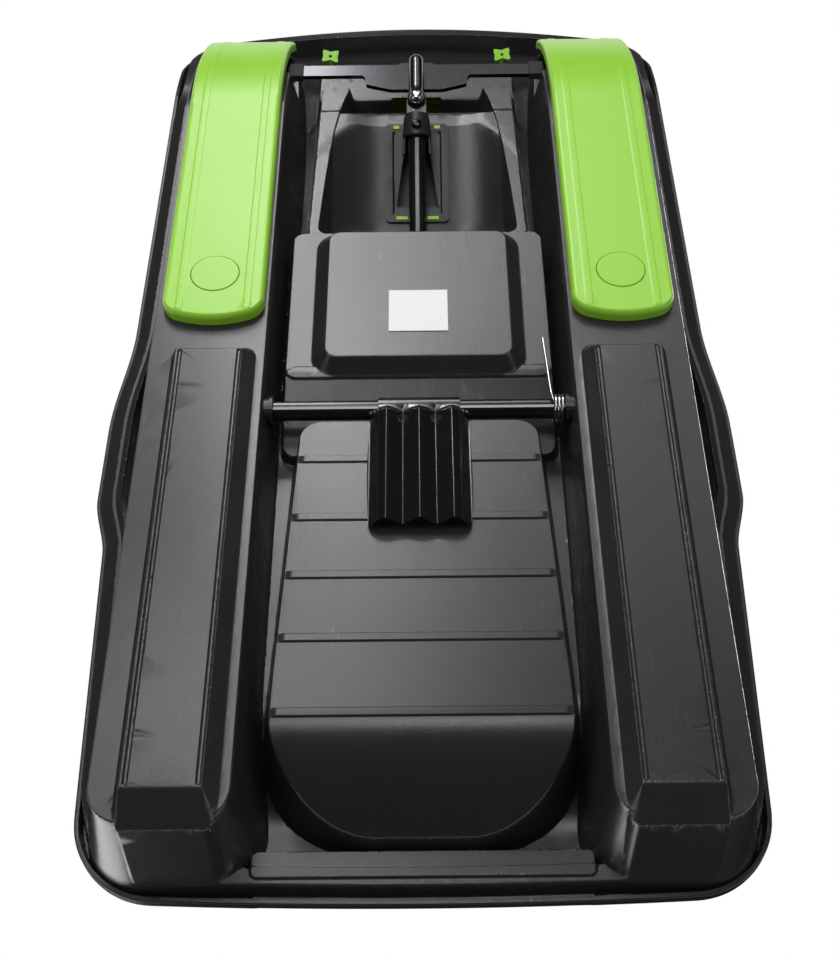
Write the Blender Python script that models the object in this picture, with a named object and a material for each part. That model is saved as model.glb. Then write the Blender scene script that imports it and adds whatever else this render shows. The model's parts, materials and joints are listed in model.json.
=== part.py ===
# A one-seat steerable sled: one moulded hull on two skis, steered by a wheel and stopped by a hand-worked claw.
# Units are metres, +Z is up, -Y is the front, and z = 0 is the snow under the skis and runners.
import math

import bmesh
import bpy
import numpy as np
from mathutils import Matrix, Vector
from mathutils.geometry import delaunay_2d_cdt

# Hull, overall
LENGTH = 1.196
WIDTH = 0.606
BULGE = 0.013
BULGE_START = -0.030
BULGE_FULL = 0.106
BULGE_HOLD = 0.190
BULGE_END = 0.258
REAR_TAPER = 0.011
FRONT_TAPER = 0.003
FRONT_CROWN = 0.050
REAR_CROWN = 0.009
FRONT_CORNER = 0.060
REAR_CORNER = 0.070
SHEET = 0.003
WALL_SHIFT = 0.0035
WALL_SLOPE = 6.0
EDGE_ROUND = 0.006

# Rim
DECK_Z = 0.125
LEDGE_Z = 0.101
LIP_Z = 0.113
LIP_WIDTH = 0.004
LEDGE_NEAR = 0.013
LEDGE_FAR = 0.026
FRONT_RISE = 0.030
RISE_START = -0.420
RIM_EDGE = 0.006

# Runner base, one each side, hollow from above
BASE_Z = 0.015
RIM_TO_BASE = 0.043
BASE_WIDTH = 0.112
BASE_NOSE = 0.143
BASE_TAIL = 0.030
BASE_OUTER = WIDTH / 2.0 - RIM_TO_BASE
BASE_INNER = BASE_OUTER - BASE_WIDTH
BASE_FRONT = -LENGTH / 2.0 + BASE_NOSE
BASE_REAR = LENGTH / 2.0 - BASE_TAIL
BASE_CORNER = 0.030

# Raised runner on the base
RUNNER_WIDTH = 0.064
RUNNER_FRONT = 0.096
RUNNER_TAIL = 0.022
RUNNER_INNER = (BASE_INNER + BASE_OUTER - RUNNER_WIDTH) / 2.0 - 0.004
RUNNER_OUTER = RUNNER_INNER + RUNNER_WIDTH
RUNNER_REAR = BASE_REAR - RUNNER_TAIL
RUNNER_SLOPES = {"inner": 1.40, "outer": 2.63, "front": 1.25, "rear": 0.63}

# Floor box between the runners, its side ledges and the channel behind it
BOX_Z = 0.030
BOX_HALF = 0.0925
BOX_FRONT = -0.094
BOX_REAR = 0.081
BOX_CORNER = 0.012
BOX_BEVEL_SLOPE = 1.23
SHELF_Z = 0.046
SHELF_HALF = BASE_INNER - 0.016
SHELF_FRONT = -0.110
SHELF_REAR = 0.095
POCKET_Z = 0.057
POCKET_REAR = 0.175

# Seat tub
TUB_Z = 0.032
TUB_FRONT = 0.161
TUB_FRONT_HALF = BASE_INNER - 0.0365
TUB_REAR_HALF = BASE_INNER - 0.0224
BOWL_LENGTH = 0.085
BOWL_REAR = LENGTH / 2.0 - 0.046
BOWL_START = BOWL_REAR - BOWL_LENGTH
BOWL_RISE = 0.058
BOWL_CORNER = 0.088
TUB_CORNER = 0.020
RIBS = (BOWL_START - 0.260, BOWL_START - 0.1945, BOWL_START - 0.133, BOWL_START - 0.070, BOWL_START)
RIB_WIDTH = 0.008
RIB_HEIGHT = 0.0018
GUTTER_HALF = BASE_INNER - 0.008
GUTTER_Z = 0.080
GUTTER_REAR_Z = 0.122
REAR_SHELF_Z = 0.100
REAR_SHELF_HALF = GUTTER_HALF
REAR_SHELF_FRONT = BOWL_REAR + 0.005
REAR_SHELF_REAR = BASE_REAR + 0.012

# Steering bay and the console above it
BAY_Z = 0.059
BAY_HALF = 0.110
BAY_FRONT = -0.375
BAY_REAR = -0.105
DOME_FRONT = -0.385
DOME_REAR = -0.122
DOME_FRONT_HALF = 0.060
DOME_REAR_HALF = 0.100
CEILING_FRONT = -0.309
CEILING_Z = 0.066
CEILING_SLOPE = 0.44
CEILING_TOP = 0.121
RIDGE_Z = 0.105
APRON_START = -0.428
APRON_Z = 0.078
APRON_SLOPE = 0.60
BAR_SLOT_FRONT = -0.430
BAR_SLOT_REAR = -0.374
BAR_SLOT_HALF = BASE_INNER + 0.066
BAR_SLOT_Z = 0.080

# Openings in the hull
SERVICE_HALF = 0.031
SERVICE_FRONT = -0.303
SERVICE_REAR = -0.203
NOTCH_FRONT = -0.380
NOTCH_SHOULDER = -0.356
NOTCH_REAR = -0.334
NOTCH_HALF = 0.030
NOTCH_REAR_HALF = 0.012
FRAME_HALF = 0.0366
FRAME_FRONT = -0.309
FRAME_REAR = -0.197
FRAME_WINDOW_HALF = 0.024
FRAME_BAR = 0.011
FRAME_THICK = 0.0025
CLIP_X = 0.106
CLIP_Y = -0.461
CLIP_HALF_X = 0.006
CLIP_HALF_Y = 0.0025
CLIP_REACH = 0.016

# Front hood
HOOD_HALF = 0.131
HOOD_FRONT = -LENGTH / 2.0 + 0.068
HOOD_REAR = -0.136
HOOD_CORNER = 0.030
HOOD_THICK = 0.0025
HOOD_ARCH = 0.030
HOOD_SPINE = 0.009
HOOD_SPINE_HALF = 0.052
HOOD_COWL = 0.014
HOOD_CLEARANCE = 0.0024

# Skis
SKI_PIVOT_X = BASE_INNER + 0.0545
SKI_PIVOT_Y = -0.005
SKI_WIDTH = 0.1005
SKI_INNER = SKI_PIVOT_X - 0.0505
SKI_OUTER = SKI_INNER + SKI_WIDTH
SKI_REAR = 0.053
SKI_REAR_CURVE = 0.013
SKI_TIP = -LENGTH / 2.0 + 0.087
SKI_TIP_CUT = 0.012
SKI_CORNER = 0.014
SKI_TIP_CORNER = 0.030
SKI_THICK = 0.0142
SKI_FLOOR = 0.004
SKI_WALL = 0.003
SKI_EDGE = 0.005
CURL_START = -0.280
CURL_RATE = 1.78
CURL_CLEARANCE = 0.003
CAP_RADIUS = 0.024
CAP_THICK = 0.003
PIVOT_BOSS = 0.030
BOLT_RADIUS = 0.005
BOLT_HEAD_RADIUS = 0.0085
BOLT_HEAD = 0.005
WASHER_RADIUS = 0.012
WASHER_THICK = 0.0015
NUT_ACROSS = 0.0085
NUT_HEIGHT = 0.008

# Tie bar and its pins
BAR_Z = 0.050
BAR_THICK = 0.005
BAR_FRONT = -0.402
BAR_REAR = -0.383
POST_X = SKI_PIVOT_X - 0.0345
BAR_HALF = POST_X + 0.013
BAR_PLATE_HALF = 0.061
BAR_PLATE_SHOULDER = -0.366
BAR_PLATE_REAR = -0.356
POST_RADIUS = 0.008
PIN_RADIUS = 0.004
PIN_HEAD = 0.0015

# Steering column, crank and wheel
COLUMN_TILT = math.radians(32.0)
COLUMN_Y = -0.300
COLUMN_Z = 0.036
COLUMN_RADIUS = 0.0095
CRANK_RADIUS = 0.009
CRANK_Z = 0.040
CRANK_TIP = -0.402
TONGUE_Y = -0.314
TONGUE_HALF = 0.011
TONGUE_THICK = 0.005
EYE_BOLT_RADIUS = 0.004
DOME_NUT_RADIUS = 0.0075
SADDLE_AT = 0.024
SADDLE_LENGTH = 0.018
SADDLE_WALL = 0.003
SADDLE_FLANGE = 0.032
BUSH_AT = 0.176
BUSH_LENGTH = 0.026
BUSH_WALL = 0.0035
COLUMN_END = 0.003
WHEEL_AT = 0.357
WHEEL_RADIUS = 0.122
WHEEL_TUBE = 0.009
WHEEL_HUB_RADIUS = 0.026
WHEEL_HUB_HEIGHT = 0.022
SPOKE_WIDTH = 0.026
SPOKE_THICK = 0.008
GRIP_WALL = 0.0035
WHEEL_STEPS = 40
WHEEL_SIDES = 10
GRIP_FROM = 2
GRIP_STEPS = 7
WHEEL_CAP_HEIGHT = 0.006

# Brake
SHAFT_Y = 0.147
SHAFT_Z = 0.034
SHAFT_RADIUS = 0.0095
SHAFT_HALF = BASE_INNER + 0.0115
CLAW_HALF = 0.0465
CLAW_SHOULDER = 0.016
CLAW_REAR = 0.288
CLAW_Z = 0.014
CLAW_THICK = 0.0025
CORRUGATION_PITCH = 0.0305
CORRUGATION_DEPTH = 0.0075
CORRUGATION_HALF = 0.0390
CLAW_WING_RISE = 0.009
LEVER_X = BASE_INNER + 0.0045
LEVER_THICK = 0.006
LEVER_LENGTH = 0.165
LEVER_WIDTH = 0.016
LEVER_EYE = 0.0145
LEVER_LEAN = math.radians(14.0)
LEVER_GRIP_RADIUS = 0.012
LEVER_GRIP_LENGTH = 0.090
BRAKE_BUSH_WALL = 0.003
BRAKE_BUSH_FLANGE = 0.0145
SPRING_X = BASE_INNER - 0.0225
SPRING_WIRE = 0.0013
SPRING_TURNS = 3
SPRING_LEG = 0.078

# Sticker
LABEL_HALF_X = 0.0295
LABEL_HALF_Y = 0.028
LABEL_Y = 0.021
LABEL_THICK = 0.0005

# Gap between pieces that touch
FIT = 0.0003
# How far a facet may lie off the true form, and the shortest edge that is still divided
FACET = 0.002
SHORTEST = 0.012
LONGEST = 0.10


# Smooth steps and joins

def smooth(t):
    t = np.clip(t, 0.0, 1.0)
    return t * t * (3.0 - 2.0 * t)


def soft_min(a, b, radius):
    gap = np.maximum(radius - np.abs(a - b), 0.0) / radius
    return np.minimum(a, b) - gap * gap * radius / 4.0


def soft_max(a, b, radius):
    return -soft_min(-a, -b, radius)


def round_corner(dx, dy, radius):
    """Distance outside two edges that meet in a corner of that radius."""
    outside = np.hypot(np.maximum(dx + radius, 0.0), np.maximum(dy + radius, 0.0))
    return outside + np.minimum(np.maximum(dx + radius, dy + radius), 0.0) - radius


def box_distance(x, y, x0, x1, y0, y1, radius):
    """Distance outside a rectangle with round corners."""
    dx = np.abs(x - (x0 + x1) / 2.0) - (x1 - x0) / 2.0
    dy = np.abs(y - (y0 + y1) / 2.0) - (y1 - y0) / 2.0
    return round_corner(dx, dy, radius)


# Plan outlines of the hull's forms, as distances outside them

def rim_distance(x, y):
    bulge = smooth((y - BULGE_START) / (BULGE_FULL - BULGE_START))
    bulge = bulge * (1.0 - smooth((y - BULGE_HOLD) / (BULGE_END - BULGE_HOLD)))
    rear = REAR_TAPER * np.clip((y - BULGE_END) / (LENGTH / 2.0 - REAR_CORNER - BULGE_END), 0.0, 1.0)
    front = FRONT_TAPER * np.clip(-y / (LENGTH / 2.0 - FRONT_CORNER), 0.0, 1.0)
    half = WIDTH / 2.0 + BULGE * bulge - rear - front
    ends = (np.abs(x) * 2.0 / WIDTH) ** 2
    front_gap = -LENGTH / 2.0 + FRONT_CROWN * ends - y
    rear_gap = y - LENGTH / 2.0 + REAR_CROWN * ends
    ahead = round_corner(np.abs(x) - half, front_gap, FRONT_CORNER)
    behind = round_corner(np.abs(x) - half, rear_gap, REAR_CORNER)
    return np.where(y < 0.0, ahead, behind)


def base_distance(x, y):
    return box_distance(np.abs(x), y, BASE_INNER, BASE_OUTER, BASE_FRONT, BASE_REAR, BASE_CORNER)


def box_top_distance(x, y):
    return box_distance(x, y, -BOX_HALF, BOX_HALF, BOX_FRONT, BOX_REAR, BOX_CORNER)


def shelf_distance(x, y):
    return box_distance(x, y, -SHELF_HALF, SHELF_HALF, SHELF_FRONT, SHELF_REAR, BOX_CORNER)


def pocket_distance(x, y):
    return box_distance(x, y, -SHELF_HALF, SHELF_HALF, BOX_REAR, POCKET_REAR, BOX_CORNER)


def tub_distance(x, y):
    along = np.clip((y - TUB_FRONT) / (BOWL_START - TUB_FRONT), 0.0, 1.0)
    half = TUB_FRONT_HALF + (TUB_REAR_HALF - TUB_FRONT_HALF) * along
    ahead = round_corner(np.abs(x) - half, TUB_FRONT - y, TUB_CORNER)
    behind = round_corner(np.abs(x) - half, y - BOWL_REAR, BOWL_CORNER)
    return np.where(y < (TUB_FRONT + BOWL_REAR) / 2.0, ahead, behind)


def rear_shelf_distance(x, y):
    return box_distance(x, y, -REAR_SHELF_HALF, REAR_SHELF_HALF, REAR_SHELF_FRONT, REAR_SHELF_REAR, BOX_CORNER / 2.0)


def bay_distance(x, y):
    return box_distance(x, y, -BAY_HALF, BAY_HALF, BAY_FRONT, BAY_REAR, BOX_CORNER)


def dome_distance(x, y):
    along = smooth((y - DOME_FRONT) / (DOME_REAR - DOME_FRONT) * 1.4)
    half = DOME_FRONT_HALF + (DOME_REAR_HALF - DOME_FRONT_HALF) * along
    dy = np.abs(y - (DOME_FRONT + DOME_REAR) / 2.0) - (DOME_REAR - DOME_FRONT) / 2.0
    return round_corner(np.abs(x) - half, dy, BOX_CORNER)


def bar_slot_distance(x, y):
    return box_distance(x, y, -BAR_SLOT_HALF, BAR_SLOT_HALF, BAR_SLOT_FRONT, BAR_SLOT_REAR, BOX_CORNER)


# Heights of the hull's two faces: side 0 is the underside and side 1 the upper side

def pan(level, distance, side, slope=WALL_SLOPE):
    """A form that hangs down: flat inside its outline, with a wall that climbs outward."""
    return level + side * SHEET + slope * np.maximum(distance + side * WALL_SHIFT, 0.0)


def steepened(rise, limit):
    """A gentle slope that turns into a steep wall above the limit."""
    return rise + 2.0 * WALL_SLOPE * np.maximum(rise - limit - 0.002, 0.0)


def curl(y):
    """Rise of the skis' running face at the front."""
    return CURL_RATE * np.maximum(CURL_START - y, 0.0) ** 2


def base_level(y):
    """Rise of the runner base, which follows the skis and clears them as they swing."""
    return BASE_Z + curl(y) + CURL_CLEARANCE * smooth((CURL_START - y) / 0.05)


def runner_height(x, y, side):
    shift = side * WALL_SHIFT
    across = np.maximum((RUNNER_INNER - x + shift) * RUNNER_SLOPES["inner"],
                        (x - RUNNER_OUTER + shift) * RUNNER_SLOPES["outer"])
    along = np.maximum((RUNNER_FRONT - y + shift) * RUNNER_SLOPES["front"],
                       (y - RUNNER_REAR + shift) * RUNNER_SLOPES["rear"])
    rise = np.hypot(np.maximum(across, 0.0), np.maximum(along, 0.0))
    return side * SHEET + steepened(rise, BASE_Z)


def box_height(x, y, side):
    rise = BOX_BEVEL_SLOPE * np.maximum(box_top_distance(x, y) + side * WALL_SHIFT, 0.0)
    return BOX_Z + side * SHEET + steepened(rise, SHELF_Z - BOX_Z)


def rim_rise(y):
    return FRONT_RISE * smooth((RISE_START - y) / (LENGTH / 2.0 + RISE_START))


def ceiling_height(x, y):
    """Underside of the console above the steering bay."""
    slope = CEILING_Z + CEILING_SLOPE * np.maximum(y - CEILING_FRONT, 0.0)
    top = soft_min(slope, CEILING_TOP + 0.0 * slope, EDGE_ROUND)
    side = np.maximum(np.abs(x) - FRAME_HALF - EDGE_ROUND, 0.0)
    return np.maximum(top - 6.0 * side ** 2, BAY_Z + EDGE_ROUND / 4.0)


def bay_height(x, y, side):
    inward = side * WALL_SHIFT - dome_distance(x, y)
    well = BAY_Z + side * SHEET + WALL_SLOPE * np.maximum(inward, 0.0)
    room = soft_min(well, ceiling_height(x, y) + side * SHEET, EDGE_ROUND)
    return room + WALL_SLOPE * np.maximum(bay_distance(x, y) + side * WALL_SHIFT, 0.0)


def rib_height(x, y):
    """Double ribs across the seat tub, standing down from its underside."""
    total = 0.0 * y
    for rib in RIBS:
        total = total + RIB_HEIGHT * smooth(2.0 - np.abs(y - rib) * 4.0 / RIB_WIDTH)
    return total * smooth(-tub_distance(x, y) / RIB_WIDTH)


def tub_height(x, y, side):
    bowl = BOWL_RISE * np.clip((y - BOWL_START) / (BOWL_REAR - BOWL_START), 0.0, 1.0) ** 1.8
    return pan(TUB_Z + bowl - rib_height(x, y), tub_distance(x, y), side)


def deck_height(x, y, side):
    """Deck with the ledge and the turned lip round the rim."""
    inside = -rim_distance(x, y)
    rise = rim_rise(y)
    lip = LIP_Z + WALL_SLOPE * np.maximum(inside - LIP_WIDTH, 0.0)
    band = np.maximum(LEDGE_NEAR - inside, inside - LEDGE_FAR)
    ledge = LEDGE_Z + WALL_SLOPE * np.maximum(band, 0.0)
    underside = np.minimum(np.minimum(lip, ledge), DECK_Z)
    shifted = np.maximum(band + WALL_SHIFT, 0.0)
    upper_ledge = LEDGE_Z + SHEET + WALL_SLOPE * shifted
    edge = np.clip(inside / RIM_EDGE, 0.0, 1.0)
    upper = np.minimum(upper_ledge, DECK_Z + SHEET) - RIM_EDGE * (1.0 - np.sqrt(1.0 - (1.0 - edge) ** 2))
    return rise + np.where(side > 0, upper, underside)


def gutter_height(x, y, side):
    """Bottom of the gutters between the runner bases and what lies between them."""
    level = GUTTER_Z + (GUTTER_REAR_Z - GUTTER_Z) * smooth((y - 0.42) / 0.12)
    level = level + (RIDGE_Z - GUTTER_Z) * smooth((SHELF_FRONT - y) / 0.03)
    level = level + APRON_SLOPE * np.maximum(APRON_START - y, 0.0)
    beside_bay = np.maximum(BAY_HALF - np.abs(x) + side * WALL_SHIFT, 0.0) * smooth((SHELF_FRONT - y) / 0.03)
    return pan(level, np.abs(x) - GUTTER_HALF, side) + WALL_SLOPE * beside_bay


def apron_height(x, y, side):
    """Front wall of the steering bay."""
    slope = APRON_Z + APRON_SLOPE * np.maximum(APRON_START - y, 0.0)
    return slope + side * SHEET + WALL_SLOPE * np.maximum(y - BAY_FRONT + side * WALL_SHIFT, 0.0) \
        + WALL_SLOPE * np.maximum(np.abs(x) - BAY_HALF - EDGE_ROUND + side * WALL_SHIFT, 0.0)


def hull_height(x, y, side):
    ax = np.abs(x)
    height = deck_height(x, y, side)
    for form in (gutter_height(x, y, side),
                 apron_height(x, y, side),
                 bay_height(x, y, side),
                 pan(base_level(y), base_distance(x, y), side),
                 pan(REAR_SHELF_Z, rear_shelf_distance(x, y), side),
                 pan(SHELF_Z, shelf_distance(x, y), side),
                 pan(POCKET_Z, pocket_distance(x, y), side),
                 tub_height(x, y, side)):
        height = soft_min(height, form, EDGE_ROUND)
    slot = BAR_SLOT_Z + side * SHEET - WALL_SLOPE * np.maximum(bar_slot_distance(x, y) - side * WALL_SHIFT, 0.0)
    height = soft_max(height, slot, EDGE_ROUND)
    height = soft_min(height, runner_height(ax, y, side), EDGE_ROUND / 3.0)
    return soft_min(height, box_height(x, y, side), EDGE_ROUND / 3.0)


# Sheets: a lower and an upper height over one plan outline, closed round its edge and its holes

def trace(distance, centre, half, level=0.0, tolerance=FACET * 0.75, longest=0.12, steps=720):
    """Points of the loop where the distance has that level, found along rays from the centre."""
    angle = np.arange(steps) * 2.0 * math.pi / steps + 1e-4
    ray = np.stack([half[0] * np.cos(angle), half[1] * np.sin(angle)], axis=1)
    near = np.zeros(steps)
    far = np.full(steps, 2.2)
    for _ in range(44):
        middle = (near + far) / 2.0
        x = centre[0] + ray[:, 0] * middle
        y = centre[1] + ray[:, 1] * middle
        inside = distance(x, y) < level
        near = np.where(inside, middle, near)
        far = np.where(inside, far, middle)
    points = np.stack([centre[0] + ray[:, 0] * near, centre[1] + ray[:, 1] * near], axis=1)
    return thin_out(points, tolerance, longest)


def thin_out(points, tolerance, longest):
    """Keep only the points that the shape of a closed loop needs."""
    count = len(points)
    kept = []
    start = 0
    while start < count:
        kept.append(start)
        end = start + 1
        while end < count:
            chord = points[(end + 1) % count] - points[start]
            length = math.hypot(chord[0], chord[1])
            between = points[start + 1:end + 1] - points[start]
            off = np.abs(between[:, 0] * chord[1] - between[:, 1] * chord[0]) / max(length, 1e-9)
            if length > longest or off.max() > tolerance:
                break
            end += 1
        start = end
    return points[kept]


def triangulate(loops, extra):
    """Triangles that keep every loop as edges and use the extra points."""
    points = [Vector((float(x), float(y))) for loop in loops for x, y in loop]
    edges = []
    first = 0
    for loop in loops:
        count = len(loop)
        edges += [(first + i, first + (i + 1) % count) for i in range(count)]
        first += count
    points += [Vector((float(x), float(y))) for x, y in extra]
    found, _, faces, _, _, _ = delaunay_2d_cdt(points, edges, [], 1, 1e-5)
    return np.array([(p.x, p.y) for p in found]), np.array(faces, dtype=int)


def lean(height, x, y, reach=0.0005):
    """How far the surface leans at each point: the length of its upward normal with z = 1."""
    dx = (height(x + reach, y) - height(x - reach, y)) / (2.0 * reach)
    dy = (height(x, y + reach) - height(x, y - reach)) / (2.0 * reach)
    return np.sqrt(1.0 + dx * dx + dy * dy)


def boundary_edges(faces):
    """Edges used by one triangle only, in that triangle's direction."""
    seen = {}
    for face in faces:
        for k in range(3):
            a, b = int(face[k]), int(face[(k + 1) % 3])
            seen.setdefault((min(a, b), max(a, b)), []).append((a, b))
    return [uses[0] for uses in seen.values() if len(uses) == 1]


def skin(border, holes, contours, height, facet, rounds):
    """One face of a sheet: triangles over the outline, divided until they follow the height."""
    loops = [border] + [loop for loop, _ in holes] + contours
    extra = np.zeros((0, 2))
    for step in range(rounds + 1):
        points, faces = triangulate(loops, extra)
        middle = points[faces].mean(axis=1)
        for _, inside in holes:
            keep = ~inside(middle[:, 0], middle[:, 1])
            faces = faces[keep]
            middle = middle[keep]
        if step == rounds:
            break
        z = height(points[:, 0], points[:, 1])
        rim = {(min(a, b), max(a, b)) for a, b in boundary_edges(faces)}
        pairs = {(min(a, b), max(a, b)) for f in faces.tolist() for a, b in ((f[0], f[1]), (f[1], f[2]), (f[2], f[0]))}
        pairs = np.array(sorted(pairs - rim))
        mid = (points[pairs[:, 0]] + points[pairs[:, 1]]) / 2.0
        size = np.hypot(*(points[pairs[:, 0]] - points[pairs[:, 1]]).T)
        off = np.abs(height(mid[:, 0], mid[:, 1]) - (z[pairs[:, 0]] + z[pairs[:, 1]]) / 2.0)
        off = off / lean(height, mid[:, 0], mid[:, 1])
        split = mid[((off > facet) & (size > SHORTEST)) | (size > LONGEST)]
        off = np.abs(height(middle[:, 0], middle[:, 1]) - z[faces].mean(axis=1))
        off = off / lean(height, middle[:, 0], middle[:, 1])
        area = np.abs(np.cross(points[faces[:, 1]] - points[faces[:, 0]], points[faces[:, 2]] - points[faces[:, 0]]))
        split = np.concatenate([split, middle[(off > facet) & (area > SHORTEST ** 2)]])
        if not len(split):
            break
        extra = np.concatenate([extra, split])
    return points, faces


def lies_inside(loop, border, margin=0.0004):
    """Whether every point of a loop lies inside the border, by a margin."""
    start = border
    edge = np.roll(border, -1, axis=0) - border
    gap = loop[:, None, :] - start[None, :, :]
    along = np.clip((gap * edge).sum(axis=2) / (edge ** 2).sum(axis=1), 0.0, 1.0)
    near = np.linalg.norm(gap - along[:, :, None] * edge, axis=2).min(axis=1)
    y = loop[:, None, 1]
    crosses = (start[None, :, 1] > y) != (start[None, :, 1] + edge[None, :, 1] > y)
    safe = np.where(np.abs(edge[:, 1]) < 1e-12, 1e-12, edge[:, 1])
    at = start[:, 0] + (y - start[:, 1]) * edge[:, 0] / safe
    inside = (crosses & (loop[:, None, 0] < at)).sum(axis=1) % 2 == 1
    return bool((inside & (near > margin)).all())


def crossed(loop, lines):
    """The loop with a point added wherever one of the lines crosses it."""
    step = np.roll(loop, -1, axis=0) - loop
    found = [[] for _ in loop]
    for line in lines:
        turn = np.roll(line, -1, axis=0) - line
        gap = line[None, :, :] - loop[:, None, :]
        across = step[:, None, 0] * turn[None, :, 1] - step[:, None, 1] * turn[None, :, 0]
        across = np.where(np.abs(across) < 1e-15, 1e-15, across)
        on_loop = (gap[:, :, 0] * turn[None, :, 1] - gap[:, :, 1] * turn[None, :, 0]) / across
        on_line = (gap[:, :, 0] * step[:, None, 1] - gap[:, :, 1] * step[:, None, 0]) / across
        for i, j in np.argwhere((on_loop > 0.0) & (on_loop < 1.0) & (on_line >= 0.0) & (on_line <= 1.0)):
            found[i].append(on_loop[i, j])
    points = []
    for start, edge, shares in zip(loop, step, found):
        points.append(start)
        length = math.hypot(edge[0], edge[1])
        last = 0.0
        for share in sorted(shares):
            if min(share - last, 1.0 - share) * length > 3e-5:
                points.append(start + share * edge)
                last = share
    return np.array(points)


def sheet_mesh(name, border, lower, upper, holes=(), lower_contours=(), upper_contours=(), facet=FACET, rounds=4):
    """A closed solid between two heights over one outline."""
    guides = [loop for loop in list(lower_contours) + list(upper_contours) if lies_inside(loop, border)]
    holes = [(crossed(loop, guides), inside) for loop, inside in holes]
    vertices = []
    triangles = []
    edge_keys = []
    for height, contours, flip in ((lower, lower_contours, True), (upper, upper_contours, False)):
        guides = [loop for loop in contours if lies_inside(loop, border)]
        points, faces = skin(border, holes, guides, height, facet, rounds)
        z = height(points[:, 0], points[:, 1])
        first = len(vertices)
        vertices += [(float(p[0]), float(p[1]), float(h)) for p, h in zip(points, z)]
        order = (0, 2, 1) if flip else (0, 1, 2)
        triangles += [tuple(first + int(f[k]) for k in order) for f in faces]
        rim = boundary_edges(faces)
        edge_keys.append({(round(points[a][0], 6), round(points[a][1], 6)): first + a for a, b in rim})
        if flip:
            lower_rim = [(first + a, first + b) for a, b in rim]
    upper_at = edge_keys[1]
    for a, b in lower_rim:
        ua = upper_at[(round(vertices[a][0], 6), round(vertices[a][1], 6))]
        ub = upper_at[(round(vertices[b][0], 6), round(vertices[b][1], 6))]
        triangles.append((a, b, ub))
        triangles.append((a, ub, ua))
    mesh = bpy.data.meshes.new(name)
    mesh.from_pydata(vertices, [], triangles)
    return mesh


# Objects and materials

def material(name, colour, roughness, metallic=0.0):
    made = bpy.data.materials.new(name)
    made.use_nodes = True
    shader = made.node_tree.nodes["Principled BSDF"]
    shader.inputs["Base Color"].default_value = (*colour, 1.0)
    shader.inputs["Roughness"].default_value = roughness
    shader.inputs["Metallic"].default_value = metallic
    return made


def add_object(name, mesh, paint, matrix=None, smooth_angle=35.0):
    made = bpy.data.objects.new(name, mesh)
    bpy.context.scene.collection.objects.link(made)
    if matrix is not None:
        made.matrix_world = matrix
    mesh.materials.clear()
    mesh.materials.append(paint)
    mesh.shade_smooth()
    mesh.set_sharp_from_angle(angle=math.radians(smooth_angle))
    return made


def mirrored(mesh, name):
    """The same mesh on the other side of the sled."""
    made = mesh.copy()
    made.name = name
    made.transform(Matrix.Scale(-1.0, 4, Vector((1.0, 0.0, 0.0))))
    made.flip_normals()
    return made


def turned(name, profile, segments=32):
    """A solid of revolution about Z from (radius, z) points that start and end on the axis."""
    bm = bmesh.new()
    verts = [bm.verts.new((r, 0.0, z)) for r, z in profile]
    edges = [bm.edges.new((a, b)) for a, b in zip(verts, verts[1:])]
    bmesh.ops.spin(bm, geom=verts + edges, cent=(0, 0, 0), axis=(0, 0, 1), angle=2.0 * math.pi, steps=segments)
    bmesh.ops.remove_doubles(bm, verts=bm.verts, dist=1e-6)
    return finish(bm, name)


def ring(name, profile, segments=32):
    """A solid of revolution about Z from a closed loop of (radius, z) points off the axis."""
    bm = bmesh.new()
    verts = [bm.verts.new((r, 0.0, z)) for r, z in profile]
    edges = [bm.edges.new((a, b)) for a, b in zip(verts, verts[1:] + verts[:1])]
    bmesh.ops.spin(bm, geom=verts + edges, cent=(0, 0, 0), axis=(0, 0, 1), angle=2.0 * math.pi, steps=segments)
    bmesh.ops.remove_doubles(bm, verts=bm.verts, dist=1e-6)
    return finish(bm, name)


def extruded(name, outline, depth):
    """A prism with the outline in the XY plane, from z = 0 up to the depth."""
    bm = bmesh.new()
    face = bm.faces.new([bm.verts.new((x, y, 0.0)) for x, y in outline])
    moved = bmesh.ops.extrude_face_region(bm, geom=[face])
    verts = [item for item in moved["geom"] if isinstance(item, bmesh.types.BMVert)]
    bmesh.ops.translate(bm, verts=verts, vec=(0.0, 0.0, depth))
    return finish(bm, name)


def swept(name, path, radius, sides=10, closed=False):
    """A round bar along a path of points."""
    bm = bmesh.new()
    rings = []
    count = len(path)
    up = Vector((0.0, 0.0, 1.0))
    for i, point in enumerate(path):
        before = path[i - 1] if (i or closed) else path[i]
        after = path[(i + 1) % count] if (i + 1 < count or closed) else path[i]
        along = (Vector(after) - Vector(before)).normalized()
        side = along.cross(up)
        if side.length < 0.1:
            side = along.cross(Vector((1.0, 0.0, 0.0)))
        side.normalize()
        normal = side.cross(along)
        rings.append([bm.verts.new(Vector(point) + radius * (math.cos(a) * side + math.sin(a) * normal))
                      for a in (2.0 * math.pi * k / sides for k in range(sides))])
    spans = zip(rings, rings[1:] + rings[:1]) if closed else zip(rings, rings[1:])
    for a, b in spans:
        for k in range(sides):
            bm.faces.new((a[k], a[(k + 1) % sides], b[(k + 1) % sides], b[k]))
    if not closed:
        bm.faces.new(rings[0])
        bm.faces.new(rings[-1])
    return finish(bm, name)


def finish(bm, name):
    bmesh.ops.recalc_face_normals(bm, faces=bm.faces)
    mesh = bpy.data.meshes.new(name)
    bm.to_mesh(mesh)
    bm.free()
    return mesh


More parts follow.
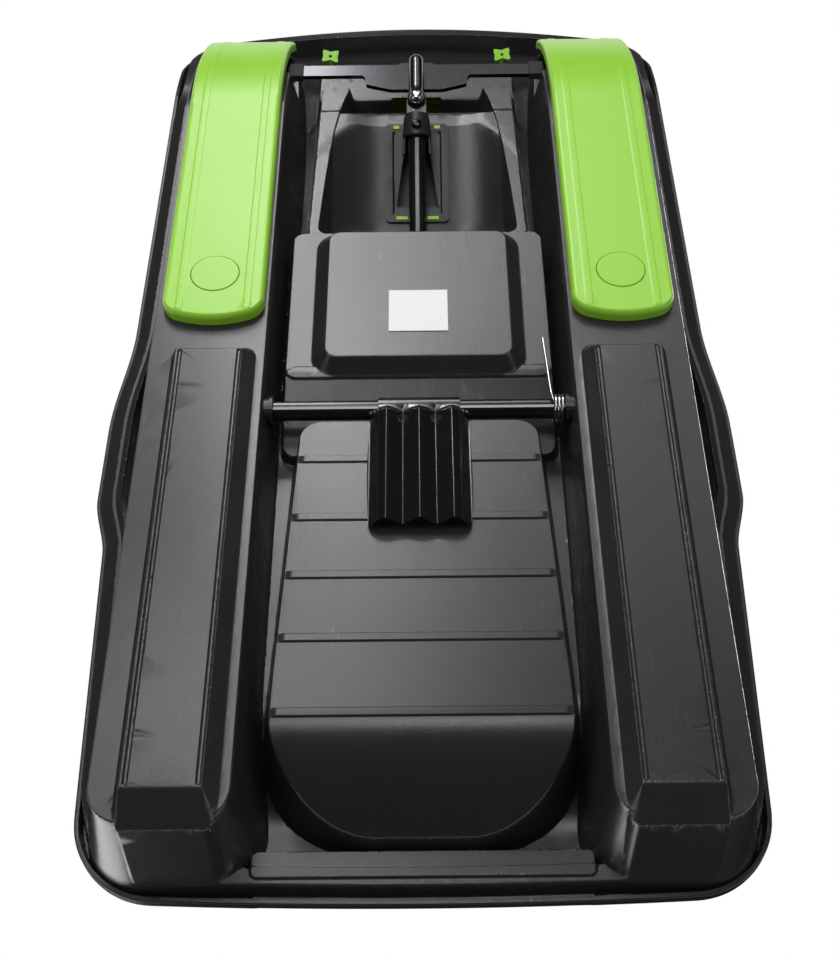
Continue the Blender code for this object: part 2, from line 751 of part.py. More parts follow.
def cut(target, mesh, matrix=None, operation="DIFFERENCE"):
    """Cut a mesh out of an object, or join it on."""
    tool = bpy.data.objects.new(target.name + "_tool", mesh)
    bpy.context.scene.collection.objects.link(tool)
    if matrix is not None:
        tool.matrix_world = matrix
    tool.hide_render = True
    tool.display_type = "WIRE"
    step = target.modifiers.new(operation.title(), "BOOLEAN")
    step.operation = operation
    step.object = tool
    step.solver = "EXACT"


def rod(radius, length, segments=28):
    """A plain cylinder from z = 0 up to the length."""
    return turned("rod", [(0.0, 0.0), (radius, 0.0), (radius, length), (0.0, length)], segments)


def circle(x, y, radius, count=20):
    return np.array([(x + radius * math.cos(2.0 * math.pi * k / count), y + radius * math.sin(2.0 * math.pi * k / count))
                     for k in range(count)])


def hole(loop, distance):
    """A hole for a sheet: its loop of points and the test for what lies in it."""
    return loop, lambda x, y: distance(x, y) < 0.0


def round_hole(x0, y0, radius):
    return hole(circle(x0, y0, radius), lambda x, y: np.hypot(x - x0, y - y0) - radius)


def square_hole(x0, x1, y0, y1):
    loop = np.array([(x0, y0), (x1, y0), (x1, y1), (x0, y1)])
    return hole(loop, lambda x, y: box_distance(x, y, x0, x1, y0, y1, 0.0))


def along_x(x, y, z):
    """Places a piece that was turned about Z on a line along +X."""
    return Matrix.Translation((x, y, z)) @ Matrix.Rotation(math.pi / 2.0, 4, "Y")


def on_column(distance):
    """Places a piece on the steering column's line, its Z along the column."""
    start = Vector((0.0, COLUMN_Y, COLUMN_Z))
    direction = Vector((0.0, math.cos(COLUMN_TILT), math.sin(COLUMN_TILT)))
    turn = Matrix.Rotation(-(math.pi / 2.0 - COLUMN_TILT), 4, "X")
    return Matrix.Translation(start + direction * distance) @ turn


# Hull and what is fixed to it

def hull_contours(side):
    """Feature edges that the hull's triangles follow."""
    w = side * WALL_SHIFT
    loops = []
    middle = (0.0, 0.0)
    size = (WIDTH / 2.0, LENGTH / 2.0)
    for inside in (LIP_WIDTH, LEDGE_NEAR - 0.004, LEDGE_NEAR, LEDGE_FAR, LEDGE_FAR + 0.004):
        loops.append(trace(rim_distance, middle, size, -inside))
    for sign in (-1.0, 1.0):
        centre = (sign * (BASE_INNER + BASE_OUTER) / 2.0, (BASE_FRONT + BASE_REAR) / 2.0)
        half = ((BASE_OUTER - BASE_INNER) / 2.0, (BASE_REAR - BASE_FRONT) / 2.0)
        same_side = lambda x, y, s=sign: np.where(x * s > 0.0, base_distance(x, y), 1.0)
        for out in (0.0, 0.007):
            loops.append(trace(same_side, centre, half, out - w))
        runner = lambda x, y, s=sign: np.where(x * s > 0.0, runner_height(x * s, y, side) - side * SHEET, 1.0)
        centre = (sign * (RUNNER_INNER + RUNNER_OUTER) / 2.0, (RUNNER_FRONT + RUNNER_REAR) / 2.0)
        half = ((RUNNER_OUTER - RUNNER_INNER) / 2.0, (RUNNER_REAR - RUNNER_FRONT) / 2.0)
        for up in (0.00001, BASE_Z):
            loops.append(trace(runner, centre, half, up))
    for distance, outs, y0, y1, hx in ((box_top_distance, (0.0, 0.013), BOX_FRONT, BOX_REAR, BOX_HALF),
                                       (tub_distance, (0.0, 0.008), TUB_FRONT, BOWL_REAR, TUB_REAR_HALF)):
        for out in outs:
            loops.append(trace(distance, (0.0, (y0 + y1) / 2.0), (hx, (y1 - y0) / 2.0), out - w))
    for out in (0.0, -0.006):
        centre = (0.0, (DOME_FRONT + DOME_REAR) / 2.0)
        loops.append(trace(dome_distance, centre, (DOME_REAR_HALF, (DOME_REAR - DOME_FRONT) / 2.0), out + w))
    centre = (0.0, (BAR_SLOT_FRONT + BAR_SLOT_REAR) / 2.0)
    for out in (0.0, 0.008):
        loops.append(trace(bar_slot_distance, centre, (BAR_SLOT_HALF, (BAR_SLOT_REAR - BAR_SLOT_FRONT) / 2.0), out + w))
    edge = 0.002
    loops.append(np.array([(-FRAME_HALF - edge, FRAME_FRONT - edge), (FRAME_HALF + edge, FRAME_FRONT - edge),
                           (FRAME_HALF + edge, FRAME_REAR + edge), (-FRAME_HALF - edge, FRAME_REAR + edge)]))
    return loops


def notch_hole():
    """Opening for the crank in front of the console, narrower towards the rear."""
    loop = np.array([(-NOTCH_HALF, NOTCH_FRONT), (NOTCH_HALF, NOTCH_FRONT), (NOTCH_HALF, NOTCH_SHOULDER),
                     (NOTCH_REAR_HALF, NOTCH_REAR), (-NOTCH_REAR_HALF, NOTCH_REAR), (-NOTCH_HALF, NOTCH_SHOULDER)])

    def distance(x, y):
        along = np.clip((y - NOTCH_SHOULDER) / (NOTCH_REAR - NOTCH_SHOULDER), 0.0, 1.0)
        half = NOTCH_HALF + (NOTCH_REAR_HALF - NOTCH_HALF) * along
        return np.maximum(np.abs(x) - half, np.maximum(NOTCH_FRONT - y, y - NOTCH_REAR))

    return hole(loop, distance)


def hull_holes():
    made = [square_hole(-SERVICE_HALF, SERVICE_HALF, SERVICE_FRONT, SERVICE_REAR), notch_hole()]
    for sign in (-1.0, 1.0):
        x = sign * CLIP_X
        made.append(square_hole(x - CLIP_HALF_X - FIT, x + CLIP_HALF_X + FIT, CLIP_Y - CLIP_HALF_Y - FIT,
                                CLIP_Y + CLIP_HALF_Y + FIT))
        made.append(round_hole(sign * SKI_PIVOT_X, SKI_PIVOT_Y, BOLT_RADIUS + FIT))
    return made


def build_hull(paint):
    border = trace(rim_distance, (0.0, 0.0), (WIDTH / 2.0, LENGTH / 2.0), tolerance=FACET / 2.0, longest=0.06)
    mesh = sheet_mesh("hull", border, lambda x, y: hull_height(x, y, 0), lambda x, y: hull_height(x, y, 1),
                      hull_holes(), hull_contours(0), hull_contours(1), rounds=1)
    hull = add_object("hull", mesh, paint)
    bush = rod(COLUMN_RADIUS + BUSH_WALL + 2.0 * FIT, BUSH_LENGTH * 4.0)
    cut(hull, bush, on_column(BUSH_AT - BUSH_LENGTH * 2.5))
    reach = rod(SHAFT_RADIUS + BRAKE_BUSH_WALL + 2.0 * FIT, 0.030)
    cut(hull, reach, along_x(BASE_INNER - 0.014, SHAFT_Y, SHAFT_Z))
    cut(hull, reach.copy(), along_x(-BASE_INNER - 0.016, SHAFT_Y, SHAFT_Z))
    return hull


def build_console_frame(paint):
    outer = lambda x, y: box_distance(x, y, -FRAME_HALF, FRAME_HALF, FRAME_FRONT, FRAME_REAR, 0.006)
    centre = (0.0, (FRAME_FRONT + FRAME_REAR) / 2.0)
    border = trace(outer, centre, (FRAME_HALF, (FRAME_REAR - FRAME_FRONT) / 2.0))
    window = square_hole(-FRAME_WINDOW_HALF, FRAME_WINDOW_HALF, FRAME_FRONT + FRAME_BAR, FRAME_REAR - FRAME_BAR)
    face = lambda x, y: CEILING_Z + CEILING_SLOPE * np.maximum(y - CEILING_FRONT, 0.0) - FIT * 2.0
    mesh = sheet_mesh("console_frame", border, lambda x, y: face(x, y) - FRAME_THICK, face, [window])
    add_object("console_frame", mesh, paint)


def hood_height(x, y):
    """Underside of the hood: it rests on the ridges beside the bay and arches over the console."""
    ridge = RIDGE_Z + APRON_SLOPE * np.maximum(APRON_START - y, 0.0)
    foot = np.minimum(ridge, DECK_Z + rim_rise(y)) + SHEET + HOOD_CLEARANCE
    share = np.clip(np.abs(x) / HOOD_HALF, 0.0, 1.0)
    arch = HOOD_ARCH * smooth((y - HOOD_FRONT + 0.01) / 0.20) * (1.0 - share ** 2.6)
    spine = HOOD_SPINE * smooth((HOOD_SPINE_HALF - np.abs(x)) / 0.016 + 0.5) * smooth((y - HOOD_FRONT - 0.04) / 0.16)
    cowl = HOOD_COWL * smooth((y - HOOD_REAR + 0.11) / 0.10) * (1.0 - share ** 2)
    return foot + arch + spine + cowl


def build_hood(paint):
    plan = lambda x, y: box_distance(x, y, -HOOD_HALF, HOOD_HALF, HOOD_FRONT, HOOD_REAR, HOOD_CORNER)
    centre = (0.0, (HOOD_FRONT + HOOD_REAR) / 2.0)
    border = trace(plan, centre, (HOOD_HALF, (HOOD_REAR - HOOD_FRONT) / 2.0))

    def lower(x, y):
        clip = box_distance(np.abs(x), y, CLIP_X - CLIP_HALF_X, CLIP_X + CLIP_HALF_X, CLIP_Y - CLIP_HALF_Y,
                            CLIP_Y + CLIP_HALF_Y, 0.0)
        tip = hull_height(CLIP_X + 0.0 * x, CLIP_Y + 0.0 * y, 0) - CLIP_REACH
        return np.where(clip < 1e-5, tip, hood_height(x, y))

    contours = []
    for sign in (-1.0, 1.0):
        for grow in (0.0, 0.0002):
            hx = CLIP_HALF_X + grow
            hy = CLIP_HALF_Y + grow
            x = sign * CLIP_X
            contours.append(np.array([(x - hx, CLIP_Y - hy), (x + hx, CLIP_Y - hy), (x + hx, CLIP_Y + hy),
                                      (x - hx, CLIP_Y + hy)]))
    mesh = sheet_mesh("front_hood", border, lower, lambda x, y: hood_height(x, y) + HOOD_THICK, (), contours)
    hood = add_object("front_hood", mesh, paint)
    cut(hood, rod(COLUMN_RADIUS + BUSH_WALL + 5.0 * FIT, 0.120), on_column(BUSH_AT - 0.030))


def build_label(paint):
    outline = [(-LABEL_HALF_X, LABEL_Y - LABEL_HALF_Y), (LABEL_HALF_X, LABEL_Y - LABEL_HALF_Y),
               (LABEL_HALF_X, LABEL_Y + LABEL_HALF_Y), (-LABEL_HALF_X, LABEL_Y + LABEL_HALF_Y)]
    add_object("label", extruded("label", outline, LABEL_THICK), paint,
               Matrix.Translation((0.0, 0.0, BOX_Z - FIT - LABEL_THICK)))


# Skis

def ski_distance(x, y):
    centre = (SKI_INNER + SKI_OUTER) / 2.0
    half = (SKI_OUTER - SKI_INNER) / 2.0
    across = np.abs(x - centre) - half
    rear = y - SKI_REAR + SKI_REAR_CURVE * ((x - centre) / half) ** 2
    tip = SKI_TIP + SKI_TIP_CUT * smooth((x - SKI_INNER - 0.016) / 0.020) - y
    corner = np.where(x > centre, SKI_TIP_CORNER, SKI_CORNER / 2.0)
    return np.where(y < 0.0, round_corner(across, tip, corner), round_corner(across, rear, SKI_CORNER))


def ski_lower(x, y):
    inside = np.clip(-ski_distance(x, y), 0.0, SKI_EDGE)
    edge = SKI_EDGE - np.sqrt(SKI_EDGE ** 2 - (SKI_EDGE - inside) ** 2)
    return curl(y) + edge


def ski_upper(x, y):
    inside = -ski_distance(x, y)
    boss = PIVOT_BOSS - np.hypot(x - SKI_PIVOT_X, y - SKI_PIVOT_Y)
    foot = 2.0 * POST_RADIUS - np.hypot(x - POST_X, y - (BAR_FRONT + BAR_REAR) / 2.0)
    full = np.maximum(np.maximum(SKI_WALL - inside, boss), foot)
    depth = (SKI_THICK - SKI_FLOOR) * smooth(0.5 - full / 0.002)
    return curl(y) + SKI_THICK - depth


def build_ski(side_name, sign, green, steel, dark):
    outline = trace(ski_distance, ((SKI_INNER + SKI_OUTER) / 2.0, (SKI_TIP + SKI_REAR) / 2.0),
                    ((SKI_OUTER - SKI_INNER) / 2.0, (SKI_REAR - SKI_TIP) / 2.0), longest=0.05)
    half = ((SKI_OUTER - SKI_INNER) / 2.0, (SKI_REAR - SKI_TIP) / 2.0)
    centre = ((SKI_INNER + SKI_OUTER) / 2.0, (SKI_TIP + SKI_REAR) / 2.0)
    lower_loops = [trace(ski_distance, centre, half, -inside) for inside in (0.0012, SKI_EDGE)]
    upper_loops = [trace(ski_distance, centre, half, -inside) for inside in (SKI_WALL, SKI_WALL + 0.002)]
    upper_loops += [circle(SKI_PIVOT_X, SKI_PIVOT_Y, PIVOT_BOSS, 28), circle(SKI_PIVOT_X, SKI_PIVOT_Y, PIVOT_BOSS + 0.002, 28)]
    mesh = sheet_mesh("ski", outline, ski_lower, ski_upper, (), lower_loops, upper_loops, rounds=1)
    pin_y = (BAR_FRONT + BAR_REAR) / 2.0
    pivot = Matrix.Translation((sign * SKI_PIVOT_X, SKI_PIVOT_Y, 0.0))
    if sign < 0.0:
        mesh = mirrored(mesh, "ski_left")
    ski = add_object("ski_" + side_name, mesh, green)
    post_low = float(curl(pin_y)) + SKI_FLOOR
    cut(ski, rod(POST_RADIUS, BAR_Z - FIT - post_low), Matrix.Translation((sign * POST_X, pin_y, post_low)), "UNION")
    seat = CAP_THICK + FIT + BOLT_HEAD + FIT
    steps = [(0.0, -0.01), (CAP_RADIUS + FIT, -0.01), (CAP_RADIUS + FIT, CAP_THICK + FIT),
             (BOLT_HEAD_RADIUS + FIT, CAP_THICK + FIT), (BOLT_HEAD_RADIUS + FIT, seat),
             (BOLT_RADIUS + FIT, seat), (BOLT_RADIUS + FIT, SKI_THICK + 0.01), (0.0, SKI_THICK + 0.01)]
    cut(ski, turned("pivot_cut", steps), pivot)
    cut(ski, rod(PIN_RADIUS + FIT, 0.1), Matrix.Translation((sign * POST_X, pin_y, float(curl(pin_y)) + SKI_FLOOR + 0.004)))
    add_object("ski_cap_" + side_name, turned("ski_cap", [(0.0, 0.0), (CAP_RADIUS - 0.0006, 0.0), (CAP_RADIUS, 0.0006),
               (CAP_RADIUS, CAP_THICK), (0.0, CAP_THICK)], 40), green, pivot)
    low = CAP_THICK + FIT
    top = BASE_Z + SHEET + 3.0 * FIT + WASHER_THICK + NUT_HEIGHT + 0.002
    add_object("pivot_bolt_" + side_name, turned("pivot_bolt", [(0.0, low), (BOLT_HEAD_RADIUS, low),
               (BOLT_HEAD_RADIUS, low + BOLT_HEAD), (BOLT_RADIUS, low + BOLT_HEAD), (BOLT_RADIUS, top), (0.0, top)], 20),
               steel, pivot)
    low = BASE_Z + SHEET + FIT
    bore = BOLT_RADIUS + FIT
    washer = [(bore, low), (WASHER_RADIUS, low), (WASHER_RADIUS, low + WASHER_THICK), (bore, low + WASHER_THICK)]
    add_object("pivot_washer_" + side_name, ring("pivot_washer", washer, 24), steel, pivot)
    low = low + WASHER_THICK + FIT
    nut = [(bore, low), (NUT_ACROSS, low), (NUT_ACROSS, low + NUT_HEIGHT), (bore, low + NUT_HEIGHT)]
    add_object("pivot_nut_" + side_name, ring("pivot_nut", nut, 6 * 3), steel, pivot)
    low = float(curl(pin_y)) + SKI_FLOOR + 0.004 + FIT
    top = BAR_Z + BAR_THICK + FIT
    pin = [(0.0, low), (PIN_RADIUS, low), (PIN_RADIUS, top), (PIN_RADIUS * 1.9, top), (PIN_RADIUS * 1.9, top + PIN_HEAD),
           (0.0, top + PIN_HEAD)]
    add_object("link_pin_" + side_name, turned("link_pin", pin, 16), dark,
               Matrix.Translation((sign * POST_X, pin_y, 0.0)))


# Steering

def build_tie_bar(paint):
    outline = np.array([(-BAR_HALF, BAR_FRONT), (-0.022, BAR_FRONT), (-0.018, BAR_FRONT - 0.004), (0.018, BAR_FRONT - 0.004),
                        (0.022, BAR_FRONT), (BAR_HALF, BAR_FRONT), (BAR_HALF, BAR_REAR), (BAR_PLATE_HALF + 0.003, BAR_REAR),
                        (BAR_PLATE_HALF, BAR_REAR + 0.004), (BAR_PLATE_HALF - 0.002, BAR_PLATE_SHOULDER),
                        (BAR_PLATE_HALF - 0.010, BAR_PLATE_SHOULDER + 0.003), (BAR_PLATE_HALF / 2.0, BAR_PLATE_REAR),
                        (-BAR_PLATE_HALF / 2.0, BAR_PLATE_REAR), (-BAR_PLATE_HALF + 0.010, BAR_PLATE_SHOULDER + 0.003),
                        (-BAR_PLATE_HALF + 0.002, BAR_PLATE_SHOULDER), (-BAR_PLATE_HALF, BAR_REAR + 0.004),
                        (-BAR_PLATE_HALF - 0.003, BAR_REAR), (-BAR_HALF, BAR_REAR)])
    pin_y = (BAR_FRONT + BAR_REAR) / 2.0
    slot = PIN_RADIUS + 0.0012
    wide = slot + 0.0010
    holes = [square_hole(-wide, wide, pin_y - 0.0065, pin_y + 0.0130)]
    for sign in (-1.0, 1.0):
        x = sign * POST_X
        holes.append(square_hole(x - slot, x + slot, pin_y - 0.0075, pin_y + 0.0075))
    flat = lambda z: lambda x, y: z + 0.0 * x
    mesh = sheet_mesh("tie_bar", outline, flat(BAR_Z), flat(BAR_Z + BAR_THICK), holes, rounds=0)
    add_object("tie_bar", mesh, paint)


def build_steering(black, steel, dark):
    pin_y = (BAR_FRONT + BAR_REAR) / 2.0
    tongue_top = COLUMN_Z + TONGUE_THICK / 2.0
    split = COLUMN_Z - TONGUE_THICK / 2.0
    nose = [(0.0, 0.0), (CRANK_RADIUS * 0.6, 0.0006), (CRANK_RADIUS * 0.9, 0.003), (CRANK_RADIUS, 0.007),
            (CRANK_RADIUS, TONGUE_Y - 0.016 - CRANK_TIP), (0.0, TONGUE_Y - 0.016 - CRANK_TIP)]
    lie = Matrix.Translation((0.0, CRANK_TIP, CRANK_Z)) @ Matrix.Rotation(-math.pi / 2.0, 4, "X")
    crank = add_object("crank", turned("crank", nose, 24), black, lie)
    tongue = [(-TONGUE_HALF, TONGUE_Y - 0.028), (TONGUE_HALF, TONGUE_Y - 0.028), (TONGUE_HALF, TONGUE_Y)]
    tongue += [(TONGUE_HALF * math.cos(a), TONGUE_Y + TONGUE_HALF * math.sin(a)) for a in
               (math.pi * k / 8.0 for k in range(1, 8))]
    tongue += [(-TONGUE_HALF, TONGUE_Y)]
    cut(crank, extruded("crank_tongue", tongue, TONGUE_THICK), Matrix.Translation((0.0, 0.0, split - FIT - TONGUE_THICK)),
        "UNION")
    cut(crank, rod(EYE_BOLT_RADIUS + FIT, 0.03), Matrix.Translation((0.0, TONGUE_Y, split - 0.02)))
    cut(crank, rod(PIN_RADIUS + FIT, 0.05), Matrix.Translation((0.0, pin_y, CRANK_Z - 0.0050)))
    pin_low = CRANK_Z - 0.0050 + FIT
    pin_top = BAR_Z + BAR_THICK + 0.006
    add_object("crank_pin", turned("crank_pin", [(0.0, pin_low), (PIN_RADIUS, pin_low), (PIN_RADIUS, pin_top - 0.001),
               (PIN_RADIUS - 0.001, pin_top), (0.0, pin_top)], 20), steel, Matrix.Translation((0.0, pin_y, 0.0)))
    start = 0.012
    length = WHEEL_AT + WHEEL_HUB_HEIGHT / 2.0 - COLUMN_END
    column = add_object("steering_column", rod(COLUMN_RADIUS, length - start), black, on_column(start))
    plate = [(x, 2.0 * TONGUE_Y - y) for x, y in tongue]
    plate = [(x, y + 0.0) for x, y in reversed(plate)]
    cut(column, extruded("column_tongue", plate, TONGUE_THICK), Matrix.Translation((0.0, 0.0, split)), "UNION")
    cut(column, rod(EYE_BOLT_RADIUS + FIT, 0.04), Matrix.Translation((0.0, TONGUE_Y, split - 0.01)))
    low = split - FIT - TONGUE_THICK - FIT
    bolt = [(0.0, low - 0.0060), (DOME_NUT_RADIUS * 0.45, low - 0.0056), (DOME_NUT_RADIUS * 0.75, low - 0.0042),
            (DOME_NUT_RADIUS, low - 0.0015), (DOME_NUT_RADIUS, low), (EYE_BOLT_RADIUS, low),
            (EYE_BOLT_RADIUS, tongue_top + FIT), (DOME_NUT_RADIUS, tongue_top + FIT),
            (DOME_NUT_RADIUS, tongue_top + FIT + 0.003), (0.0, tongue_top + FIT + 0.003)]
    add_object("crank_bolt", turned("crank_bolt", bolt, 24), steel, Matrix.Translation((0.0, TONGUE_Y, 0.0)))
    build_saddle(dark, steel)
    bore = COLUMN_RADIUS + FIT
    out = COLUMN_RADIUS + BUSH_WALL
    add_object("column_bush", ring("column_bush", [(bore, 0.0), (out, 0.0), (out, BUSH_LENGTH), (bore, BUSH_LENGTH)], 28),
               dark, on_column(BUSH_AT - BUSH_LENGTH / 2.0))


def build_saddle(dark, steel):
    """A strap round the column's lower end, its flanges under the console frame."""
    bore = COLUMN_RADIUS + FIT
    out = bore + SADDLE_WALL
    tilt = COLUMN_TILT
    heights = []
    for along in (SADDLE_AT - SADDLE_LENGTH / 2.0, SADDLE_AT + SADDLE_LENGTH / 2.0):
        y = COLUMN_Y + along * math.cos(tilt)
        z = COLUMN_Z + along * math.sin(tilt)
        face = CEILING_Z + CEILING_SLOPE * (y - CEILING_FRONT) - 2.0 * FIT - FRAME_THICK
        heights.append((face - z) / (math.cos(tilt) + CEILING_SLOPE * math.sin(tilt)))
    top = min(heights) - FIT
    outline = [(-SADDLE_FLANGE, top - SADDLE_WALL), (-out, top - SADDLE_WALL), (-out, 0.0)]
    outline += [(-out * math.cos(a), -out * math.sin(a)) for a in (math.pi * k / 14.0 for k in range(1, 14))]
    outline += [(out, 0.0), (out, top - SADDLE_WALL), (SADDLE_FLANGE, top - SADDLE_WALL), (SADDLE_FLANGE, top),
                (bore, top), (bore, 0.0)]
    outline += [(bore * math.cos(a), -bore * math.sin(a)) for a in (math.pi * k / 14.0 for k in range(1, 14))]
    outline += [(-bore, 0.0), (-bore, top), (-SADDLE_FLANGE, top)]
    outline = [(x, -y) for x, y in reversed(outline)]
    mesh = extruded("column_saddle", outline, SADDLE_LENGTH)
    saddle = add_object("column_saddle", mesh, dark, on_column(SADDLE_AT - SADDLE_LENGTH / 2.0))
    down = on_column(SADDLE_AT) @ Matrix.Rotation(-math.pi / 2.0, 4, "X")
    cut(saddle, rod(0.003 + FIT, 0.012, 16), down @ Matrix.Translation((0.0, 0.0, bore - 0.002)))
    head = [(0.0, bore + 0.0003), (0.003, bore + 0.0003), (0.003, out + FIT), (0.006, out + FIT), (0.0055, out + 0.003),
            (0.003, out + 0.0045), (0.0, out + 0.0048)]
    add_object("saddle_bolt", turned("saddle_bolt", head, 16), steel, down)


def build_wheel(black, rubber, green):
    place = on_column(WHEEL_AT)
    path = [(WHEEL_RADIUS * math.cos(a), WHEEL_RADIUS * math.sin(a), 0.0) for a in
            (2.0 * math.pi * k / WHEEL_STEPS for k in range(WHEEL_STEPS))]
    wheel = add_object("steering_wheel", swept("steering_wheel", path, WHEEL_TUBE, WHEEL_SIDES, True), black, place)
    half = SPOKE_WIDTH / 2.0
    for turn in (0.0, 90.0, 180.0):
        spoke = extruded("spoke", [(0.004, -half), (WHEEL_RADIUS, -half * 0.7), (WHEEL_RADIUS, half * 0.7), (0.004, half)],
                         SPOKE_THICK)
        cut(wheel, spoke, place @ Matrix.Rotation(math.radians(turn), 4, "Z") @ Matrix.Translation((0, 0, -SPOKE_THICK / 2)),
            "UNION")
    top = WHEEL_HUB_HEIGHT / 2.0
    cut(wheel, rod(WHEEL_HUB_RADIUS, WHEEL_HUB_HEIGHT, 36), place @ Matrix.Translation((0.0, 0.0, -top)), "UNION")
    seat = WHEEL_HUB_HEIGHT / 2.0 - COLUMN_END
    cut(wheel, rod(COLUMN_RADIUS + FIT, 0.1), place @ Matrix.Translation((0.0, 0.0, seat + FIT - 0.1)))
    cap = [(0.0, top + FIT), (WHEEL_HUB_RADIUS - 0.002, top + FIT), (WHEEL_HUB_RADIUS - 0.002, top + WHEEL_CAP_HEIGHT * 0.6),
           (WHEEL_HUB_RADIUS * 0.75, top + WHEEL_CAP_HEIGHT * 0.9), (WHEEL_HUB_RADIUS * 0.4, top + WHEEL_CAP_HEIGHT),
           (0.0, top + WHEEL_CAP_HEIGHT)]
    add_object("wheel_cap", turned("wheel_cap", cap, 36), green, place)
    for name, start in (("wheel_grip_left", WHEEL_STEPS // 2 + GRIP_FROM), ("wheel_grip_right", -GRIP_FROM - GRIP_STEPS)):
        add_object(name, grip_mesh(name, start), rubber, place)


def grip_mesh(name, start):
    """A sleeve round the wheel's rim, from one of the rim's facets on."""
    bm = bmesh.new()
    sides = WHEEL_SIDES
    loops = []
    for k in range(GRIP_STEPS + 1):
        a = 2.0 * math.pi * (start + k) / WHEEL_STEPS
        pair = []
        for radius in (WHEEL_TUBE + FIT, WHEEL_TUBE + GRIP_WALL):
            pair.append([bm.verts.new(((WHEEL_RADIUS + radius * math.cos(b)) * math.cos(a),
                                       (WHEEL_RADIUS + radius * math.cos(b)) * math.sin(a), radius * math.sin(b)))
                         for b in (2.0 * math.pi * j / sides for j in range(sides))])
        loops.append(pair)
    for j in range(sides):
        n = (j + 1) % sides
        for (inner_a, outer_a), (inner_b, outer_b) in zip(loops, loops[1:]):
            bm.faces.new((outer_a[j], outer_a[n], outer_b[n], outer_b[j]))
            bm.faces.new((inner_a[n], inner_a[j], inner_b[j], inner_b[n]))
        for inner, outer in (loops[0], loops[-1]):
            bm.faces.new((inner[j], inner[n], outer[n], outer[j]))
    return finish(bm, name)


# Brake

def claw_height(x, y):
    """Underside of the corrugated claw plate."""
    wave = 0.5 - 0.5 * np.cos(2.0 * math.pi * np.minimum(np.abs(x), CORRUGATION_PITCH * 1.2) / CORRUGATION_PITCH)
    wing = np.clip((np.abs(x) - CORRUGATION_PITCH * 1.2) / (CLAW_HALF - CORRUGATION_PITCH * 1.2), 0.0, 1.0)
    start = SHAFT_Y + SHAFT_RADIUS
    return CLAW_Z + CORRUGATION_DEPTH * wave + CLAW_WING_RISE * wing * np.clip((y - start) / CLAW_SHOULDER, 0.0, 1.0)


def build_brake(black, steel, rubber, dark):
    add_object("brake_shaft", turned("brake_shaft", [(0.0, 0.0), (SHAFT_RADIUS - 0.001, 0.0), (SHAFT_RADIUS, 0.001),
               (SHAFT_RADIUS, 2.0 * SHAFT_HALF - 0.001), (SHAFT_RADIUS - 0.001, 2.0 * SHAFT_HALF), (0.0, 2.0 * SHAFT_HALF)],
               24), black, along_x(-SHAFT_HALF, SHAFT_Y, SHAFT_Z))
    front = SHAFT_Y - SHAFT_RADIUS * 0.8
    outline = []
    shoulder = SHAFT_Y + SHAFT_RADIUS + CLAW_SHOULDER
    rear_half = CLAW_HALF - 0.003
    for k in range(25):
        x = rear_half - 2.0 * rear_half * k / 24.0
        outline.append((x, CLAW_REAR - 0.0015 * (1.0 + math.cos(2.0 * math.pi * x / CORRUGATION_PITCH))))
    outline += [(-CLAW_HALF, CLAW_REAR - 0.020), (-CLAW_HALF, shoulder), (-CORRUGATION_HALF, SHAFT_Y + SHAFT_RADIUS),
                (-CORRUGATION_HALF, front), (CORRUGATION_HALF, front), (CORRUGATION_HALF, SHAFT_Y + SHAFT_RADIUS),
                (CLAW_HALF, shoulder), (CLAW_HALF, CLAW_REAR - 0.020)]
    lines = []
    step = CORRUGATION_PITCH / 6.0
    count = int(CORRUGATION_HALF / step)
    for k in range(-count, count + 1):
        lines.append(np.array([(k * step, front + 0.004), (k * step + 1e-4, CLAW_REAR - 0.010)]))
    mesh = sheet_mesh("brake_claw", np.array(outline), claw_height, lambda x, y: claw_height(x, y) + CLAW_THICK, (), lines,
                      lines, facet=0.0006, rounds=3)
    add_object("brake_claw", mesh, black)
    bore = SHAFT_RADIUS + FIT
    barrel = SHAFT_RADIUS + BRAKE_BUSH_WALL
    step_x = BASE_INNER - 0.0063
    profile = [(bore, -0.0032), (BRAKE_BUSH_FLANGE, -0.0032), (BRAKE_BUSH_FLANGE, 0.0), (barrel, 0.0), (barrel, 0.0098),
               (bore, 0.0098)]
    add_object("brake_bush_right", ring("brake_bush", profile, 24), dark, along_x(step_x, SHAFT_Y, SHAFT_Z))
    add_object("brake_bush_left", ring("brake_bush", profile, 24), dark,
               Matrix.Rotation(math.pi, 4, "Z") @ along_x(step_x, -SHAFT_Y, SHAFT_Z))
    build_levers(black, rubber)
    build_spring(steel)


